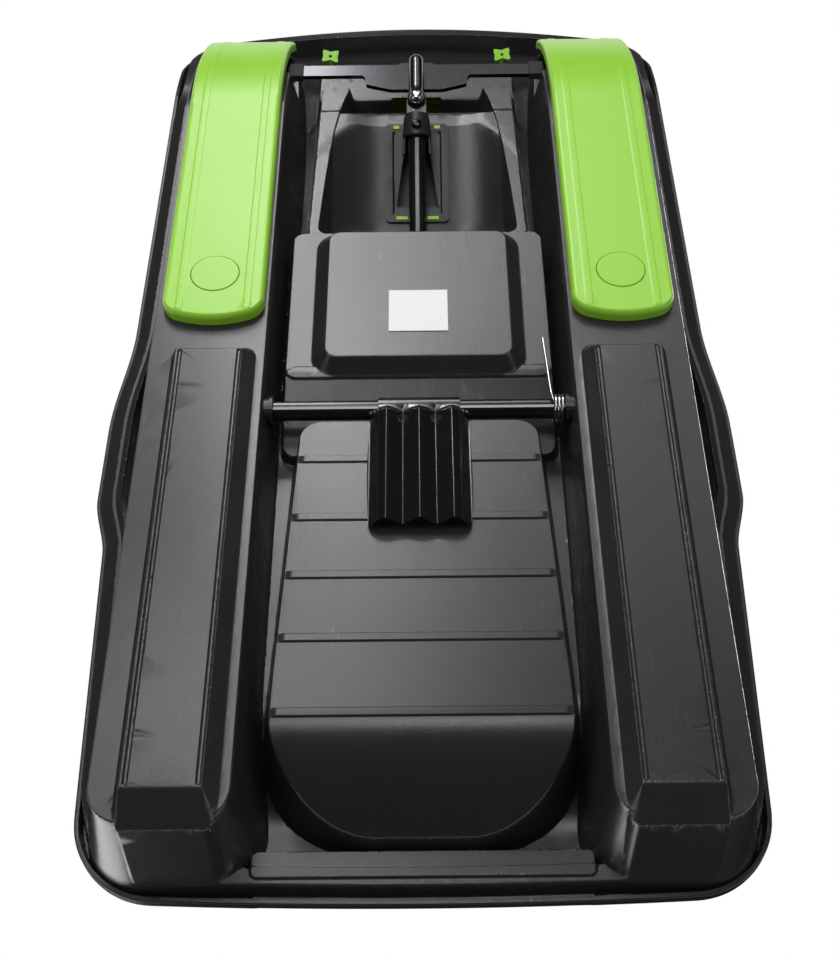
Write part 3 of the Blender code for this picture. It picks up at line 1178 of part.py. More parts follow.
def build_levers(black, rubber):
    half = LEVER_WIDTH / 2.0
    eye = [(LEVER_EYE * math.cos(a), LEVER_EYE * math.sin(a)) for a in
           (math.radians(-218.0 + 256.0 * k / 18.0) for k in range(19))]
    outline = eye + [(half, LEVER_LENGTH * 0.35), (half, LEVER_LENGTH), (-half, LEVER_LENGTH), (-half, LEVER_LENGTH * 0.35)]
    for name, sign in (("left", -1.0), ("right", 1.0)):
        x = LEVER_X if sign > 0.0 else -LEVER_X - LEVER_THICK
        lean = Matrix.Rotation(LEVER_LEAN, 4, "X")
        stand = Matrix(((0.0, 0.0, 1.0, 0.0), (1.0, 0.0, 0.0, 0.0), (0.0, 1.0, 0.0, 0.0), (0.0, 0.0, 0.0, 1.0)))
        place = Matrix.Translation((x, SHAFT_Y, SHAFT_Z)) @ lean @ stand
        lever = add_object("brake_lever_" + name, extruded("brake_lever", outline, LEVER_THICK), black, place)
        cut(lever, rod(SHAFT_RADIUS + FIT, 0.04), place @ Matrix.Translation((0.0, 0.0, -0.02)))
        low = LEVER_LENGTH - LEVER_GRIP_LENGTH + 0.012
        profile = [(0.0, low), (LEVER_GRIP_RADIUS, low), (LEVER_GRIP_RADIUS, low + LEVER_GRIP_LENGTH - 0.006),
                   (LEVER_GRIP_RADIUS - 0.004, low + LEVER_GRIP_LENGTH), (0.0, low + LEVER_GRIP_LENGTH)]
        middle = Matrix.Translation((x + LEVER_THICK / 2.0, SHAFT_Y, SHAFT_Z)) @ lean
        grip = add_object("lever_grip_" + name, turned("lever_grip", profile, 20), rubber, middle)
        room = [(-half - FIT, low - 0.01), (half + FIT, low - 0.01), (half + FIT, LEVER_LENGTH + FIT),
                (-half - FIT, LEVER_LENGTH + FIT)]
        cut(grip, extruded("grip_room", room, LEVER_THICK + 2.0 * FIT), place @ Matrix.Translation((0.0, 0.0, -FIT)))


def build_spring(steel):
    radius = SHAFT_RADIUS + SPRING_WIRE + 0.0008
    pitch = 2.0 * SPRING_WIRE + 0.0006
    path = []
    per_turn = 12
    for k in range(SPRING_TURNS * per_turn + 1):
        a = 2.0 * math.pi * k / per_turn + math.pi
        path.append((SPRING_X + pitch * k / per_turn, SHAFT_Y + radius * math.sin(a), SHAFT_Z + radius * math.cos(a)))
    last = path[0]
    leg = [(SPRING_X - 0.002, last[1] - SPRING_LEG, last[2] + 0.002), (SPRING_X - 0.001, last[1] - SPRING_LEG * 0.5, last[2]),
           (SPRING_X, last[1] - 0.008, last[2])]
    add_object("brake_spring", swept("brake_spring", leg + path, SPRING_WIRE, 5), steel)


def main():
    for old in list(bpy.data.objects):
        bpy.data.objects.remove(old, do_unlink=True)
    charcoal = material("charcoal_plastic", (0.055, 0.052, 0.055), 0.35)
    green = material("green_plastic", (0.33, 0.72, 0.06), 0.3)
    black = material("black_paint", (0.012, 0.012, 0.014), 0.25)
    steel = material("bright_steel", (0.62, 0.62, 0.6), 0.25, 1.0)
    satin = material("satin_steel", (0.5, 0.5, 0.5), 0.4, 1.0)
    rubber = material("black_rubber", (0.02, 0.02, 0.02), 0.7)
    dark = material("dark_plastic", (0.03, 0.03, 0.032), 0.45)
    white = material("label_white", (0.85, 0.85, 0.85), 0.5)
    build_hull(charcoal)
    build_console_frame(dark)
    build_hood(green)
    build_label(white)
    for side_name, sign in (("left", -1.0), ("right", 1.0)):
        build_ski(side_name, sign, green, steel, dark)
    build_tie_bar(satin)
    build_steering(black, steel, dark)
    build_wheel(black, rubber, green)
    build_brake(black, steel, rubber, dark)


main()
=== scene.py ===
# %% [markdown]
# A one-seat steerable sled, seen from below. It is a thin moulded hull that stands on two swinging skis
# in front and on two moulded runners behind. This lesson dresses the engineering model, which gives every
# piece its size and place, with fine surfaces and finishes. Units are metres, z = 0 is the snow, and the
# skis' tips point to -Y.

# %% Load the engineering model
import math
import json

import bpy
import numpy as np
from mathutils import Matrix, Vector
from mathutils.geometry import delaunay_2d_cdt

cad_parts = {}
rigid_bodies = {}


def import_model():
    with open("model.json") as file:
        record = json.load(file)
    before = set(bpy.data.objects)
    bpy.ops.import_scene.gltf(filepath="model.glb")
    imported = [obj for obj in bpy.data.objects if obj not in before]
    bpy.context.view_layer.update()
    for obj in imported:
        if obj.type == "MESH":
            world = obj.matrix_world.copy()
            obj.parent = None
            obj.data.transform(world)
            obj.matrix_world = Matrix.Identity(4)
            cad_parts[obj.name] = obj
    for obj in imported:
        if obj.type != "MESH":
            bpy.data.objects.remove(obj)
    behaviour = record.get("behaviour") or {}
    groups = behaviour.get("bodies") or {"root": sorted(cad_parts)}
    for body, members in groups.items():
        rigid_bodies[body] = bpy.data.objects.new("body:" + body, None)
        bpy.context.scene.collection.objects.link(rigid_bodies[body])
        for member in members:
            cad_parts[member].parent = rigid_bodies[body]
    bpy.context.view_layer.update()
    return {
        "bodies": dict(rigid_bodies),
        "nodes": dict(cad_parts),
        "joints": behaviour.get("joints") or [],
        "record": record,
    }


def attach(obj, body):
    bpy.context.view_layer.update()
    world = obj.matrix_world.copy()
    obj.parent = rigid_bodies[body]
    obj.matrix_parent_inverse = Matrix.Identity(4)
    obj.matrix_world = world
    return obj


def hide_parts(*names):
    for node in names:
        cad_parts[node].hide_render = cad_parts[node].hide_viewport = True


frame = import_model()
nodes = frame["nodes"]
SIDES = (("left", -1.0), ("right", 1.0))
bpy.ops.object.select_all(action="DESELECT")

# %% [markdown]
# The camera looks up at the underside from behind and below the sled, as if the sled stood on a glass
# table. Its place comes from the way the skis, the runners and the floor box narrow in the picture.

# %% Camera
FOCAL_PIXELS = 1399.74
PICTURE_HEIGHT = 960
CAMERA_PLACE = Vector((0.0024, 0.9990, -0.9928))
CAMERA_LIFT = math.radians(53.183)
CAMERA_YAW = math.radians(-0.156)
CAMERA_ROLL = math.radians(0.692)


def aim_camera():
    """A camera whose picture axes are worked out from its lift, yaw and roll."""
    lens = bpy.data.cameras.new("photo_camera")
    lens.sensor_width = 36.0
    lens.lens = FOCAL_PIXELS / PICTURE_HEIGHT * lens.sensor_width
    lens.clip_start = 0.01
    lens.clip_end = 60.0
    camera = bpy.data.objects.new("photo_camera", lens)
    bpy.context.scene.collection.objects.link(camera)
    sin_yaw, cos_yaw = math.sin(CAMERA_YAW), math.cos(CAMERA_YAW)
    across = Vector((cos_yaw, sin_yaw, 0.0))
    down = Vector((-sin_yaw * math.sin(CAMERA_LIFT), cos_yaw * math.sin(CAMERA_LIFT), math.cos(CAMERA_LIFT)))
    ahead = Vector((sin_yaw * math.cos(CAMERA_LIFT), -cos_yaw * math.cos(CAMERA_LIFT), math.sin(CAMERA_LIFT)))
    right = math.cos(CAMERA_ROLL) * across + math.sin(CAMERA_ROLL) * down
    up = math.sin(CAMERA_ROLL) * across - math.cos(CAMERA_ROLL) * down
    turn = Matrix((right, up, -ahead)).transposed().to_4x4()
    camera.matrix_world = Matrix.Translation(CAMERA_PLACE) @ turn
    bpy.context.scene.camera = camera


aim_camera()
bpy.context.scene.view_settings.view_transform = "Standard"

# %% [markdown]
# Shader trees are built from a few helpers: one adds a node with its values, one a math node, and one
# makes the links.

# %% Node helpers
def add_node(tree, kind, **inputs):
    """A new shader node with values on its named inputs."""
    made = tree.nodes.new("ShaderNode" + kind)
    for key, value in inputs.items():
        made.inputs[key.replace("_", " ")].default_value = value
    return made


def math_node(tree, operation, second=0.5):
    made = add_node(tree, "Math")
    made.operation = operation
    made.inputs[1].default_value = second
    return made


def join(tree, *links):
    """Links, each from a node's output to a node's input."""
    for source, output, target, socket in links:
        tree.links.new(source.outputs[output], target.inputs[socket])


# %% [markdown]
# Studio: a white surround, soft boxes under the sled for this view and over it for the others, and a pale
# floor that only an eye above it sees. From below the sled hangs over plain white. Two black cloths, one
# low and one high, are seen by reflections only, so that the dark plastic keeps its contrast.

# %% Surround and floor
def build_world():
    """White to the eye, in reflections and through glass, and a weak fill for all other light."""
    world = bpy.data.worlds.new("studio")
    bpy.context.scene.world = world
    world.use_nodes = True
    tree = world.node_tree
    tree.nodes.clear()
    path = add_node(tree, "LightPath")
    seen = add_node(tree, "Background", Color=(1.0, 1.0, 1.0, 1.0), Strength=1.0)
    fill = add_node(tree, "Background", Color=(0.93, 0.96, 1.0, 1.0), Strength=0.30)
    either = math_node(tree, "MAXIMUM")
    glass = math_node(tree, "MAXIMUM")
    mix = add_node(tree, "MixShader")
    out = add_node(tree, "OutputWorld")
    join(tree, (path, "Is Camera Ray", either, 0), (path, "Is Glossy Ray", either, 1), (either, 0, glass, 0),
         (path, "Is Transmission Ray", glass, 1), (glass, 0, mix, "Fac"), (fill, 0, mix, 1),
         (seen, 0, mix, 2), (mix, 0, out, "Surface"))


def build_floor():
    bpy.ops.mesh.primitive_plane_add(size=24.0, location=(0.0, 0.0, 0.0))
    floor = bpy.context.object
    floor.name = "floor"
    paint = bpy.data.materials.new("pale_floor")
    paint.use_nodes = True
    tree = paint.node_tree
    shader = tree.nodes["Principled BSDF"]
    shader.inputs["Base Color"].default_value = (0.82, 0.83, 0.84, 1.0)
    shader.inputs["Roughness"].default_value = 0.8
    shader.inputs["Specular IOR Level"].default_value = 0.1
    path = add_node(tree, "LightPath")
    side = add_node(tree, "NewGeometry")
    front = math_node(tree, "SUBTRACT")
    front.use_clamp = True
    clear = add_node(tree, "BsdfTransparent")
    mix = add_node(tree, "MixShader")
    join(tree, (path, "Is Camera Ray", front, 0), (side, "Backfacing", front, 1), (front, 0, mix, "Fac"),
         (clear, 0, mix, 1), (shader, 0, mix, 2), (mix, 0, tree.nodes["Material Output"], "Surface"))
    floor.data.materials.append(paint)


def soft_box(name, place, target, size, power):
    """A rectangular lamp that faces its target."""
    lamp = bpy.data.lights.new(name, "AREA")
    lamp.shape = "RECTANGLE"
    lamp.size = size[0]
    lamp.size_y = size[1]
    lamp.energy = power
    made = bpy.data.objects.new(name, lamp)
    bpy.context.scene.collection.objects.link(made)
    aim = Vector(target) - Vector(place)
    made.matrix_world = Matrix.Translation(place) @ aim.to_track_quat("-Z", "Y").to_matrix().to_4x4()
    return made


def build_flag(name, height, upwards):
    """Part of a black bowl round the set, cut at a height. Only reflections see it."""
    bpy.ops.mesh.primitive_uv_sphere_add(segments=48, ring_count=24, radius=12.0, location=(0.0, 0.0, 0.0))
    flag = bpy.context.object
    flag.name = name
    bpy.ops.object.mode_set(mode="EDIT")
    bpy.ops.mesh.select_all(action="SELECT")
    bpy.ops.mesh.bisect(plane_co=(0.0, 0.0, height), plane_no=(0.0, 0.0, 1.0), clear_outer=not upwards,
                        clear_inner=upwards)
    bpy.ops.object.mode_set(mode="OBJECT")
    paint = bpy.data.materials.new("black_cloth")
    paint.use_nodes = True
    shader = paint.node_tree.nodes["Principled BSDF"]
    shader.inputs["Base Color"].default_value = (0.004, 0.004, 0.004, 1.0)
    shader.inputs["Specular IOR Level"].default_value = 0.0
    shader.inputs["Roughness"].default_value = 1.0
    flag.data.materials.append(paint)
    for ray in ("camera", "diffuse", "transmission", "shadow"):
        setattr(flag, "visible_" + ray, False)


build_world()
build_floor()
build_flag("flag_below", 0.9, False)
build_flag("flag_above", 7.2, True)
soft_box("sheet_below", (0.0, -3.55, -3.72), (0.0, -0.20, 0.03), (4.6, 3.25), 60.0)
soft_box("hot_box", (-0.05, -1.93, -1.75), (0.0, -0.04, 0.03), (0.90, 0.34), 7.0)
soft_box("hot_panel", (-0.22, -1.22, -1.75), (-0.08, 0.18, 0.03), (0.24, 0.16), 6.4)
soft_box("hot_runner", (-0.42, -0.40, -1.75), (-0.15, 0.48, 0.02), (0.75, 0.22), 5.5)
soft_box("hot_ski", (-0.60, -2.20, -1.75), (-0.20, -0.15, 0.01), (0.26, 0.50), 5.2)
soft_box("hot_bar", (-0.37, -2.85, -1.75), (-0.12, -0.39, 0.05), (0.22, 0.20), 6.5)
soft_box("glint_rear", (0.0, 0.30, -1.80), (0.0, -0.10, 0.04), (0.90, 0.28), 7.5)
soft_box("strip_left", (-1.7, 0.7, -1.0), (0.0, 0.25, 0.05), (0.20, 1.6), 6.0)
soft_box("strip_right", (1.7, 0.7, -1.1), (0.0, 0.25, 0.05), (0.20, 1.6), 5.0)
soft_box("key_above", (1.6, -1.8, 2.4), (0.0, 0.0, 0.1), (1.8, 1.8), 60.0)
soft_box("fill_above", (-2.0, 1.6, 2.0), (0.0, 0.0, 0.1), (1.8, 1.8), 35.0)

# %% [markdown]
# Many finishes here share two effects. Grain is the fine leather-like texture that a mould leaves in
# plastic. Scuffs are the long thin scratches that snow and handling leave. Each is a node group that
# reads the piece's own coordinates, so a piece keeps its marks when it moves.

# %% Shared effects
def new_group(name, output):
    """A node group with a scale going in and one value coming out, and its three first nodes."""
    group = bpy.data.node_groups.new(name, "ShaderNodeTree")
    group.interface.new_socket("Scale", in_out="INPUT", socket_type="NodeSocketFloat")
    group.interface.new_socket(output, in_out="OUTPUT", socket_type="NodeSocketFloat")
    source = group.nodes.new("NodeGroupInput")
    out = group.nodes.new("NodeGroupOutput")
    return group, source, out, add_node(group, "TexCoord")


def grain_group():
    group, source, out, place = new_group("mould_grain", "Height")
    fine = add_node(group, "TexVoronoi", Randomness=1.0)
    fine.feature = "SMOOTH_F1"
    cloud = add_node(group, "TexNoise", Detail=3.0, Roughness=0.6)
    both = math_node(group, "ADD")
    join(group, (place, "Object", fine, "Vector"), (place, "Object", cloud, "Vector"),
         (source, "Scale", fine, "Scale"), (source, "Scale", cloud, "Scale"), (fine, "Distance", both, 0),
         (cloud, "Fac", both, 1), (both, 0, out, "Height"))
    return group


def scuff_group():
    group, source, out, place = new_group("long_scuffs", "Mask")
    stretch = add_node(group, "Mapping", Scale=(1.0, 0.035, 1.0))
    lines = add_node(group, "TexNoise", Detail=4.0, Roughness=0.7)
    patches = add_node(group, "TexNoise", Scale=9.0, Detail=2.0)
    sharp = add_node(group, "MapRange", From_Min=0.56, From_Max=0.74)
    where = add_node(group, "MapRange", From_Min=0.48, From_Max=0.66)
    both = math_node(group, "MULTIPLY")
    join(group, (place, "Object", stretch, "Vector"), (stretch, "Vector", lines, "Vector"),
         (place, "Object", patches, "Vector"), (source, "Scale", lines, "Scale"), (lines, "Fac", sharp, "Value"),
         (patches, "Fac", where, "Value"), (sharp, "Result", both, 0), (where, "Result", both, 1),
         (both, 0, out, "Mask"))
    return group


GRAIN = grain_group()
SCUFFS = scuff_group()

# %% [markdown]
# Finishes. Every finish starts as a Principled shader with its plain colour, roughness and metal value,
# and then gets mottling, grain and scuffs from the shared effects.

# %% Finishes
SCUFF_SCALE = 420.0
DIAGONAL_LINES = 175.0
GRAIN_HEIGHT = 0.0002


def tinted(tree, factor, first, second):
    """A colour mix between two plain colours by a factor that changes over the surface."""
    mix = add_node(tree, "Mix")
    mix.data_type = "RGBA"
    mix.inputs["A"].default_value = (*first, 1.0)
    mix.inputs["B"].default_value = (*second, 1.0)
    join(tree, (*factor, mix, "Factor"))
    return mix


def finish(name, colour, roughness, metallic=0.0, specular=0.5, coat=0.0, grain=0.0, grain_scale=900.0,
           scuffs=0.0, mottling=0.10, diagonal=0.0):
    paint = bpy.data.materials.new(name)
    paint.use_nodes = True
    tree = paint.node_tree
    shader = tree.nodes["Principled BSDF"]
    shader.inputs["Metallic"].default_value = metallic
    shader.inputs["Specular IOR Level"].default_value = specular
    shader.inputs["Coat Weight"].default_value = coat
    shader.inputs["Coat Roughness"].default_value = 0.12
    place = add_node(tree, "TexCoord")
    cloud = add_node(tree, "TexNoise", Scale=14.0, Detail=5.0, Roughness=0.6)
    join(tree, (place, "Object", cloud, "Vector"))
    tint = tinted(tree, (cloud, "Fac"), [c * (1.0 - mottling) for c in colour],
                  [min(c * (1.0 + mottling), 1.0) for c in colour])
    rough = add_node(tree, "MapRange", To_Min=roughness * 0.85, To_Max=roughness * 1.15)
    join(tree, (cloud, "Fac", rough, "Value"))
    if scuffs:
        marks = add_node(tree, "Group")
        marks.node_tree = SCUFFS
        marks.inputs["Scale"].default_value = SCUFF_SCALE
        strength = math_node(tree, "MULTIPLY", scuffs)
        join(tree, (marks, "Mask", strength, 0))
        worn = tinted(tree, (strength, 0), colour, [min(c * 2.2 + 0.03, 1.0) for c in colour])
        join(tree, (tint, "Result", worn, "A"))
        tint = worn
        rougher = math_node(tree, "ADD")
        join(tree, (rough, 0, rougher, 0), (strength, 0, rougher, 1))
        rough = rougher
    if grain:
        texture = add_node(tree, "Group")
        texture.node_tree = GRAIN
        texture.inputs["Scale"].default_value = grain_scale
        bump = add_node(tree, "Bump", Strength=grain, Distance=GRAIN_HEIGHT)
        lines = add_node(tree, "TexWave", Scale=DIAGONAL_LINES)
        lines.bands_direction = "DIAGONAL"
        heights = math_node(tree, "MULTIPLY_ADD", diagonal)
        join(tree, (place, "Object", lines, "Vector"), (lines, "Fac", heights, 0),
             (texture, "Height", heights, 2), (heights, 0, bump, "Height"), (bump, "Normal", shader, "Normal"))
    join(tree, (tint, "Result", shader, "Base Color"), (rough, 0, shader, "Roughness"))
    return paint


CHARCOAL = finish("charcoal_hull", (0.022, 0.021, 0.022), 0.24, grain=0.30, grain_scale=1400.0, scuffs=0.10,
                  diagonal=0.35)
GREEN = finish("green_plastic", (0.27, 0.57, 0.035), 0.34, specular=0.45, grain=0.08, scuffs=0.06, mottling=0.03)
DARK = finish("dark_plastic", (0.014, 0.014, 0.015), 0.38, grain=0.2)
BLACK_PLASTIC = finish("black_plastic", (0.012, 0.012, 0.013), 0.3, grain=0.2)
BLACK_PAINT = finish("black_paint", (0.007, 0.007, 0.008), 0.20, coat=0.3, grain=0.05, grain_scale=500.0)
BRIGHT_STEEL = finish("bright_zinc", (0.62, 0.62, 0.60), 0.24, metallic=1.0, mottling=0.12)
SATIN_STEEL = finish("satin_steel", (0.035, 0.035, 0.038), 0.20, metallic=1.0, scuffs=0.2)
RUBBER = finish("soft_grip", (0.016, 0.016, 0.016), 0.75, grain=0.8, grain_scale=700.0)
LABEL_WHITE = finish("label_white", (0.70, 0.70, 0.69), 0.50, mottling=0.02)

FINISH_OF_SLOT = {"charcoal": CHARCOAL, "green": GREEN, "dark": DARK, "black_plastic": BLACK_PLASTIC,
                  "black_paint": BLACK_PAINT, "steel": BRIGHT_STEEL, "satin": SATIN_STEEL, "rubber": RUBBER,
                  "label": LABEL_WHITE}


def dress(piece, paint):
    piece.data.materials.clear()
    piece.data.materials.append(paint)


for row in frame["record"]["subparts"]:
    dress(nodes[row["node"]], FINISH_OF_SLOT[row["material_slot"]])
    nodes[row["node"]].data.set_sharp_from_angle(angle=math.radians(35.0))
print("nodes dressed", len(nodes))

# %% [markdown]
# The hull is one vacuum-formed sheet with dozens of round-edged forms that run into each other. Edit-mode
# tools can't blend so many soft walls over one thin sheet, so it is made another way: each form is a
# height over the ground plan, the heights melt into each other with small radii, and a triangle skin is
# divided until it follows them. The numbers are those of the engineering model, with finer forms added.

# %% Smooth steps, joins and plan distances
def smooth(t):
    t = np.clip(t, 0.0, 1.0)
    return t * t * (3.0 - 2.0 * t)


def soft_min(a, b, radius):
    gap = np.maximum(radius - np.abs(a - b), 0.0) / radius
    return np.minimum(a, b) - gap * gap * radius / 4.0


def soft_max(a, b, radius):
    return -soft_min(-a, -b, radius)


def soft_floor(rise, radius):
    """Zero below zero, the value above it, with a round start."""
    return soft_max(rise, 0.0 * rise, radius)


def round_corner(dx, dy, radius):
    """Distance outside two edges that meet in a corner of that radius."""
    outside = np.hypot(np.maximum(dx + radius, 0.0), np.maximum(dy + radius, 0.0))
    return outside + np.minimum(np.maximum(dx + radius, dy + radius), 0.0) - radius


def box_distance(x, y, x0, x1, y0, y1, radius):
    """Distance outside a rectangle with round corners."""
    dx = np.abs(x - (x0 + x1) / 2.0) - (x1 - x0) / 2.0
    dy = np.abs(y - (y0 + y1) / 2.0) - (y1 - y0) / 2.0
    return round_corner(dx, dy, radius)


# %% Hull, its plan outlines
HALF_LENGTH = 0.598
HALF_WIDTH = 0.303
SHEET = 0.003
WALL_SHIFT = 0.0035
CEILING_LOW = 0.066
CEILING_START = -0.309
CEILING_SLOPE = 0.44
PIVOT_X = 0.2025
PIVOT_Y = -0.005
BOLT_HOLE = 0.0053
LINK_PIN_X = 0.168
LINK_PIN_Y = -0.3925
WALL_SLOPE = 6.0
EDGE_ROUND = 0.006
CREASE = 0.0012


def rim_distance(x, y):
    bulge = smooth((y + 0.030) / 0.136) * (1.0 - smooth((y - 0.190) / 0.068))
    rear = 0.011 * np.clip((y - 0.258) / 0.270, 0.0, 1.0)
    front = 0.003 * np.clip(-y / 0.538, 0.0, 1.0)
    half = HALF_WIDTH + 0.013 * bulge - rear - front
    ends = (x / HALF_WIDTH) ** 2
    ahead = round_corner(np.abs(x) - half, 0.050 * ends - HALF_LENGTH - y, 0.060)
    behind = round_corner(np.abs(x) - half, y - HALF_LENGTH + 0.009 * ends, 0.070)
    return np.where(y < 0.0, ahead, behind)


def base_distance(x, y):
    return box_distance(np.abs(x), y, 0.148, 0.260, -0.455, 0.568, 0.030)


def box_top_distance(x, y):
    return box_distance(x, y, -0.0925, 0.0925, -0.094, 0.081, 0.012)


def shelf_distance(x, y):
    return box_distance(x, y, -0.132, 0.132, -0.110, 0.095, 0.012)


def pocket_distance(x, y):
    return box_distance(x, y, -0.132, 0.132, 0.081, 0.175, 0.012)


def tub_distance(x, y):
    half = 0.1115 + 0.0141 * np.clip((y - 0.161) / 0.306, 0.0, 1.0)
    ahead = round_corner(np.abs(x) - half, 0.161 - y, 0.020)
    behind = round_corner(np.abs(x) - half, y - 0.552, 0.088)
    return np.where(y < 0.3565, ahead, behind)


def rear_shelf_distance(x, y):
    return box_distance(x, y, -0.140, 0.140, 0.557, 0.580, 0.006)


def bay_distance(x, y):
    half = 0.1115 + 0.028 * np.clip(y + 0.347, 0.0, 0.229)
    return round_corner(np.abs(x) - half, np.abs(y + 0.240) - 0.135, 0.012)


def dome_distance(x, y):
    back = np.maximum(y + 0.407, 0.0)
    half = 0.060 + 0.032 * (1.0 - np.exp(-back / 0.05)) + 0.06 * back
    return round_corner(np.abs(x) - half, np.abs(y + 0.2535) - 0.1315, 0.012)


def bar_slot_distance(x, y):
    return box_distance(x, y, -0.214, 0.214, -0.430, -0.374, 0.012)


# %% Hull, the heights of its underside (side 0) and its upper side (side 1)
def pan(level, distance, side):
    """A form that hangs down: flat inside its outline, with a steep wall round it."""
    return level + side * SHEET + WALL_SLOPE * soft_floor(distance + side * WALL_SHIFT, CREASE)


def steepened(rise, limit):
    """A gentle slope that turns into a steep wall above the limit."""
    return rise + 2.0 * WALL_SLOPE * np.maximum(rise - limit - 0.002, 0.0)


def curl(y):
    """Rise of the skis' running face towards their tips."""
    return 1.78 * np.maximum(-0.280 - y, 0.0) ** 2


RUNNER_GROOVES = (0.1712, 0.2275)


def groove_depth(x, y):
    """Two long shallow grooves with round ends in each runner's running face."""
    depth = 0.0 * x
    for middle in RUNNER_GROOVES:
        from_line = np.hypot(x - middle, np.maximum(np.abs(y - 0.3205) - 0.2215, 0.0))
        depth = depth + 0.0019 * smooth((0.0026 - from_line) / 0.0018)
    return depth


def runner_height(x, y, side):
    shift = side * WALL_SHIFT
    across = np.maximum((0.168 - x + shift) * 1.40, (x - 0.232 + shift) * 2.63)
    along = np.maximum((0.096 - y + shift) * 1.25, (y - 0.546 + shift) * 0.63)
    rise = np.hypot(soft_floor(across, CREASE), soft_floor(along, CREASE))
    return side * SHEET + steepened(rise, 0.015) + groove_depth(x, y)


def box_height(x, y, side):
    rise = 1.23 * soft_floor(box_top_distance(x, y) + side * WALL_SHIFT, CREASE)
    return 0.030 + side * SHEET + steepened(rise, 0.016)


def rim_rise(y):
    return 0.030 * smooth((-0.420 - y) / 0.178)


def ceiling_height(x, y):
    """Underside of the console above the steering bay."""
    slope = CEILING_LOW + CEILING_SLOPE * np.maximum(y - CEILING_START, 0.0)
    top = soft_min(slope, 0.121 + 0.0 * slope, EDGE_ROUND)
    beside = np.maximum(np.abs(x) - 0.0426, 0.0)
    front = 0.0605 + 0.85 * np.clip(-0.326 - y, 0.0, 0.066)
    return soft_max(top - 6.0 * beside ** 2, front, 0.004)


def bay_height(x, y, side):
    inward = side * WALL_SHIFT - dome_distance(x, y)
    well = 0.059 + side * SHEET + WALL_SLOPE * np.maximum(inward, 0.0)
    room = soft_min(well, ceiling_height(x, y) + side * SHEET, EDGE_ROUND)
    return room + WALL_SLOPE * np.maximum(bay_distance(x, y) + side * WALL_SHIFT, 0.0)


TUB_RIBS = (0.207, 0.2725, 0.334, 0.397, 0.467)


def rib_height(x, y):
    """Flat-topped ribs across the seat tub, standing down from its underside."""
    total = 0.0 * y
    for rib in TUB_RIBS:
        total = total + 0.0018 * smooth((0.0046 - np.abs(y - rib)) / 0.0016)
    return total * smooth(-tub_distance(x, y) / 0.008)


def tub_height(x, y, side):
    bowl = 0.058 * np.clip((y - 0.467) / 0.085, 0.0, 1.0) ** 1.8
    return pan(0.032 + bowl - rib_height(x, y), tub_distance(x, y), side)


def deck_height(x, y, side):
    """Deck with the ledge and the turned lip round the rim."""
    inside = -rim_distance(x, y)
    lip = 0.113 + WALL_SLOPE * np.maximum(inside - 0.004, 0.0)
    band = np.maximum(0.013 - inside, inside - 0.026)
    along_side = smooth((y + 0.44) / 0.06) * (1.0 - smooth((y - 0.49) / 0.05))
    outer_edge = np.maximum(0.013 - 0.009 * along_side - inside, inside - 0.026)
    ledge = 0.101 + WALL_SLOPE * np.maximum(outer_edge, 0.0)
    ledge = ledge + 0.5 * along_side * np.clip(0.026 - inside, 0.0, 0.022)
    underside = np.minimum(np.minimum(lip, ledge), 0.125)
    upper_ledge = 0.101 + SHEET + WALL_SLOPE * np.maximum(band + WALL_SHIFT, 0.0)
    edge = np.clip(inside / 0.006, 0.0, 1.0)
    rolled = 0.0014 - np.sqrt(np.maximum(0.0014 ** 2 - (0.0014 - np.clip(inside, 0.0, 0.0014)) ** 2, 0.0))
    underside = underside + rolled
    upper = np.minimum(upper_ledge, 0.125 + SHEET) - 0.006 * (1.0 - np.sqrt(1.0 - (1.0 - edge) ** 2))
    return rim_rise(y) + np.where(side > 0, upper, underside)


def gutter_height(x, y, side):
    """Bottom of the gutters between the runner bases and what lies between them."""
    level = 0.080 + 0.042 * smooth((y - 0.42) / 0.12)
    level = level + 0.025 * smooth((-0.110 - y) / 0.03)
    level = level + 0.60 * np.maximum(-0.428 - y, 0.0)
    level = level + 0.45 * np.maximum(0.140 - np.abs(x), 0.0) * smooth((-0.110 - y) / 0.03)
    beside_bay = np.maximum(0.110 - np.abs(x) + side * WALL_SHIFT, 0.0) * smooth((-0.110 - y) / 0.03)
    return pan(level, np.abs(x) - 0.140, side) + WALL_SLOPE * beside_bay


def apron_height(x, y, side):
    """Front wall of the steering bay."""
    slope = 0.078 + 0.60 * np.maximum(-0.428 - y, 0.0)
    return slope + side * SHEET + WALL_SLOPE * np.maximum(y + 0.375 + side * WALL_SHIFT, 0.0) \
        + WALL_SLOPE * np.maximum(np.abs(x) - 0.116 + side * WALL_SHIFT, 0.0)


def hull_height(x, y, side):
    base = 0.015 + curl(y) + 0.003 * smooth((-0.280 - y) / 0.05)
    height = deck_height(x, y, side)
    for form in (gutter_height(x, y, side), apron_height(x, y, side), bay_height(x, y, side),
                 pan(base, base_distance(x, y), side), pan(0.100, rear_shelf_distance(x, y), side),
                 pan(0.046, shelf_distance(x, y), side),
                 pan(0.046 + 0.27 * np.clip(y - 0.088, 0.0, 0.090), pocket_distance(x, y), side),
                 tub_height(x, y, side)):
        height = soft_min(height, form, EDGE_ROUND)
    slot = 0.080 + side * SHEET - WALL_SLOPE * np.maximum(bar_slot_distance(x, y) - side * WALL_SHIFT, 0.0)
    height = soft_max(height, slot, EDGE_ROUND)
    height = soft_min(height, runner_height(np.abs(x), y, side), EDGE_ROUND / 3.0)
    return soft_min(height, box_height(x, y, side), EDGE_ROUND / 3.0)


# %% [markdown]
# The skin builder. It triangulates the outline with the feature lines as edges, divides every edge whose
# middle lies off the form, and repeats. Normals come from the form's own slope, so highlights run smooth.

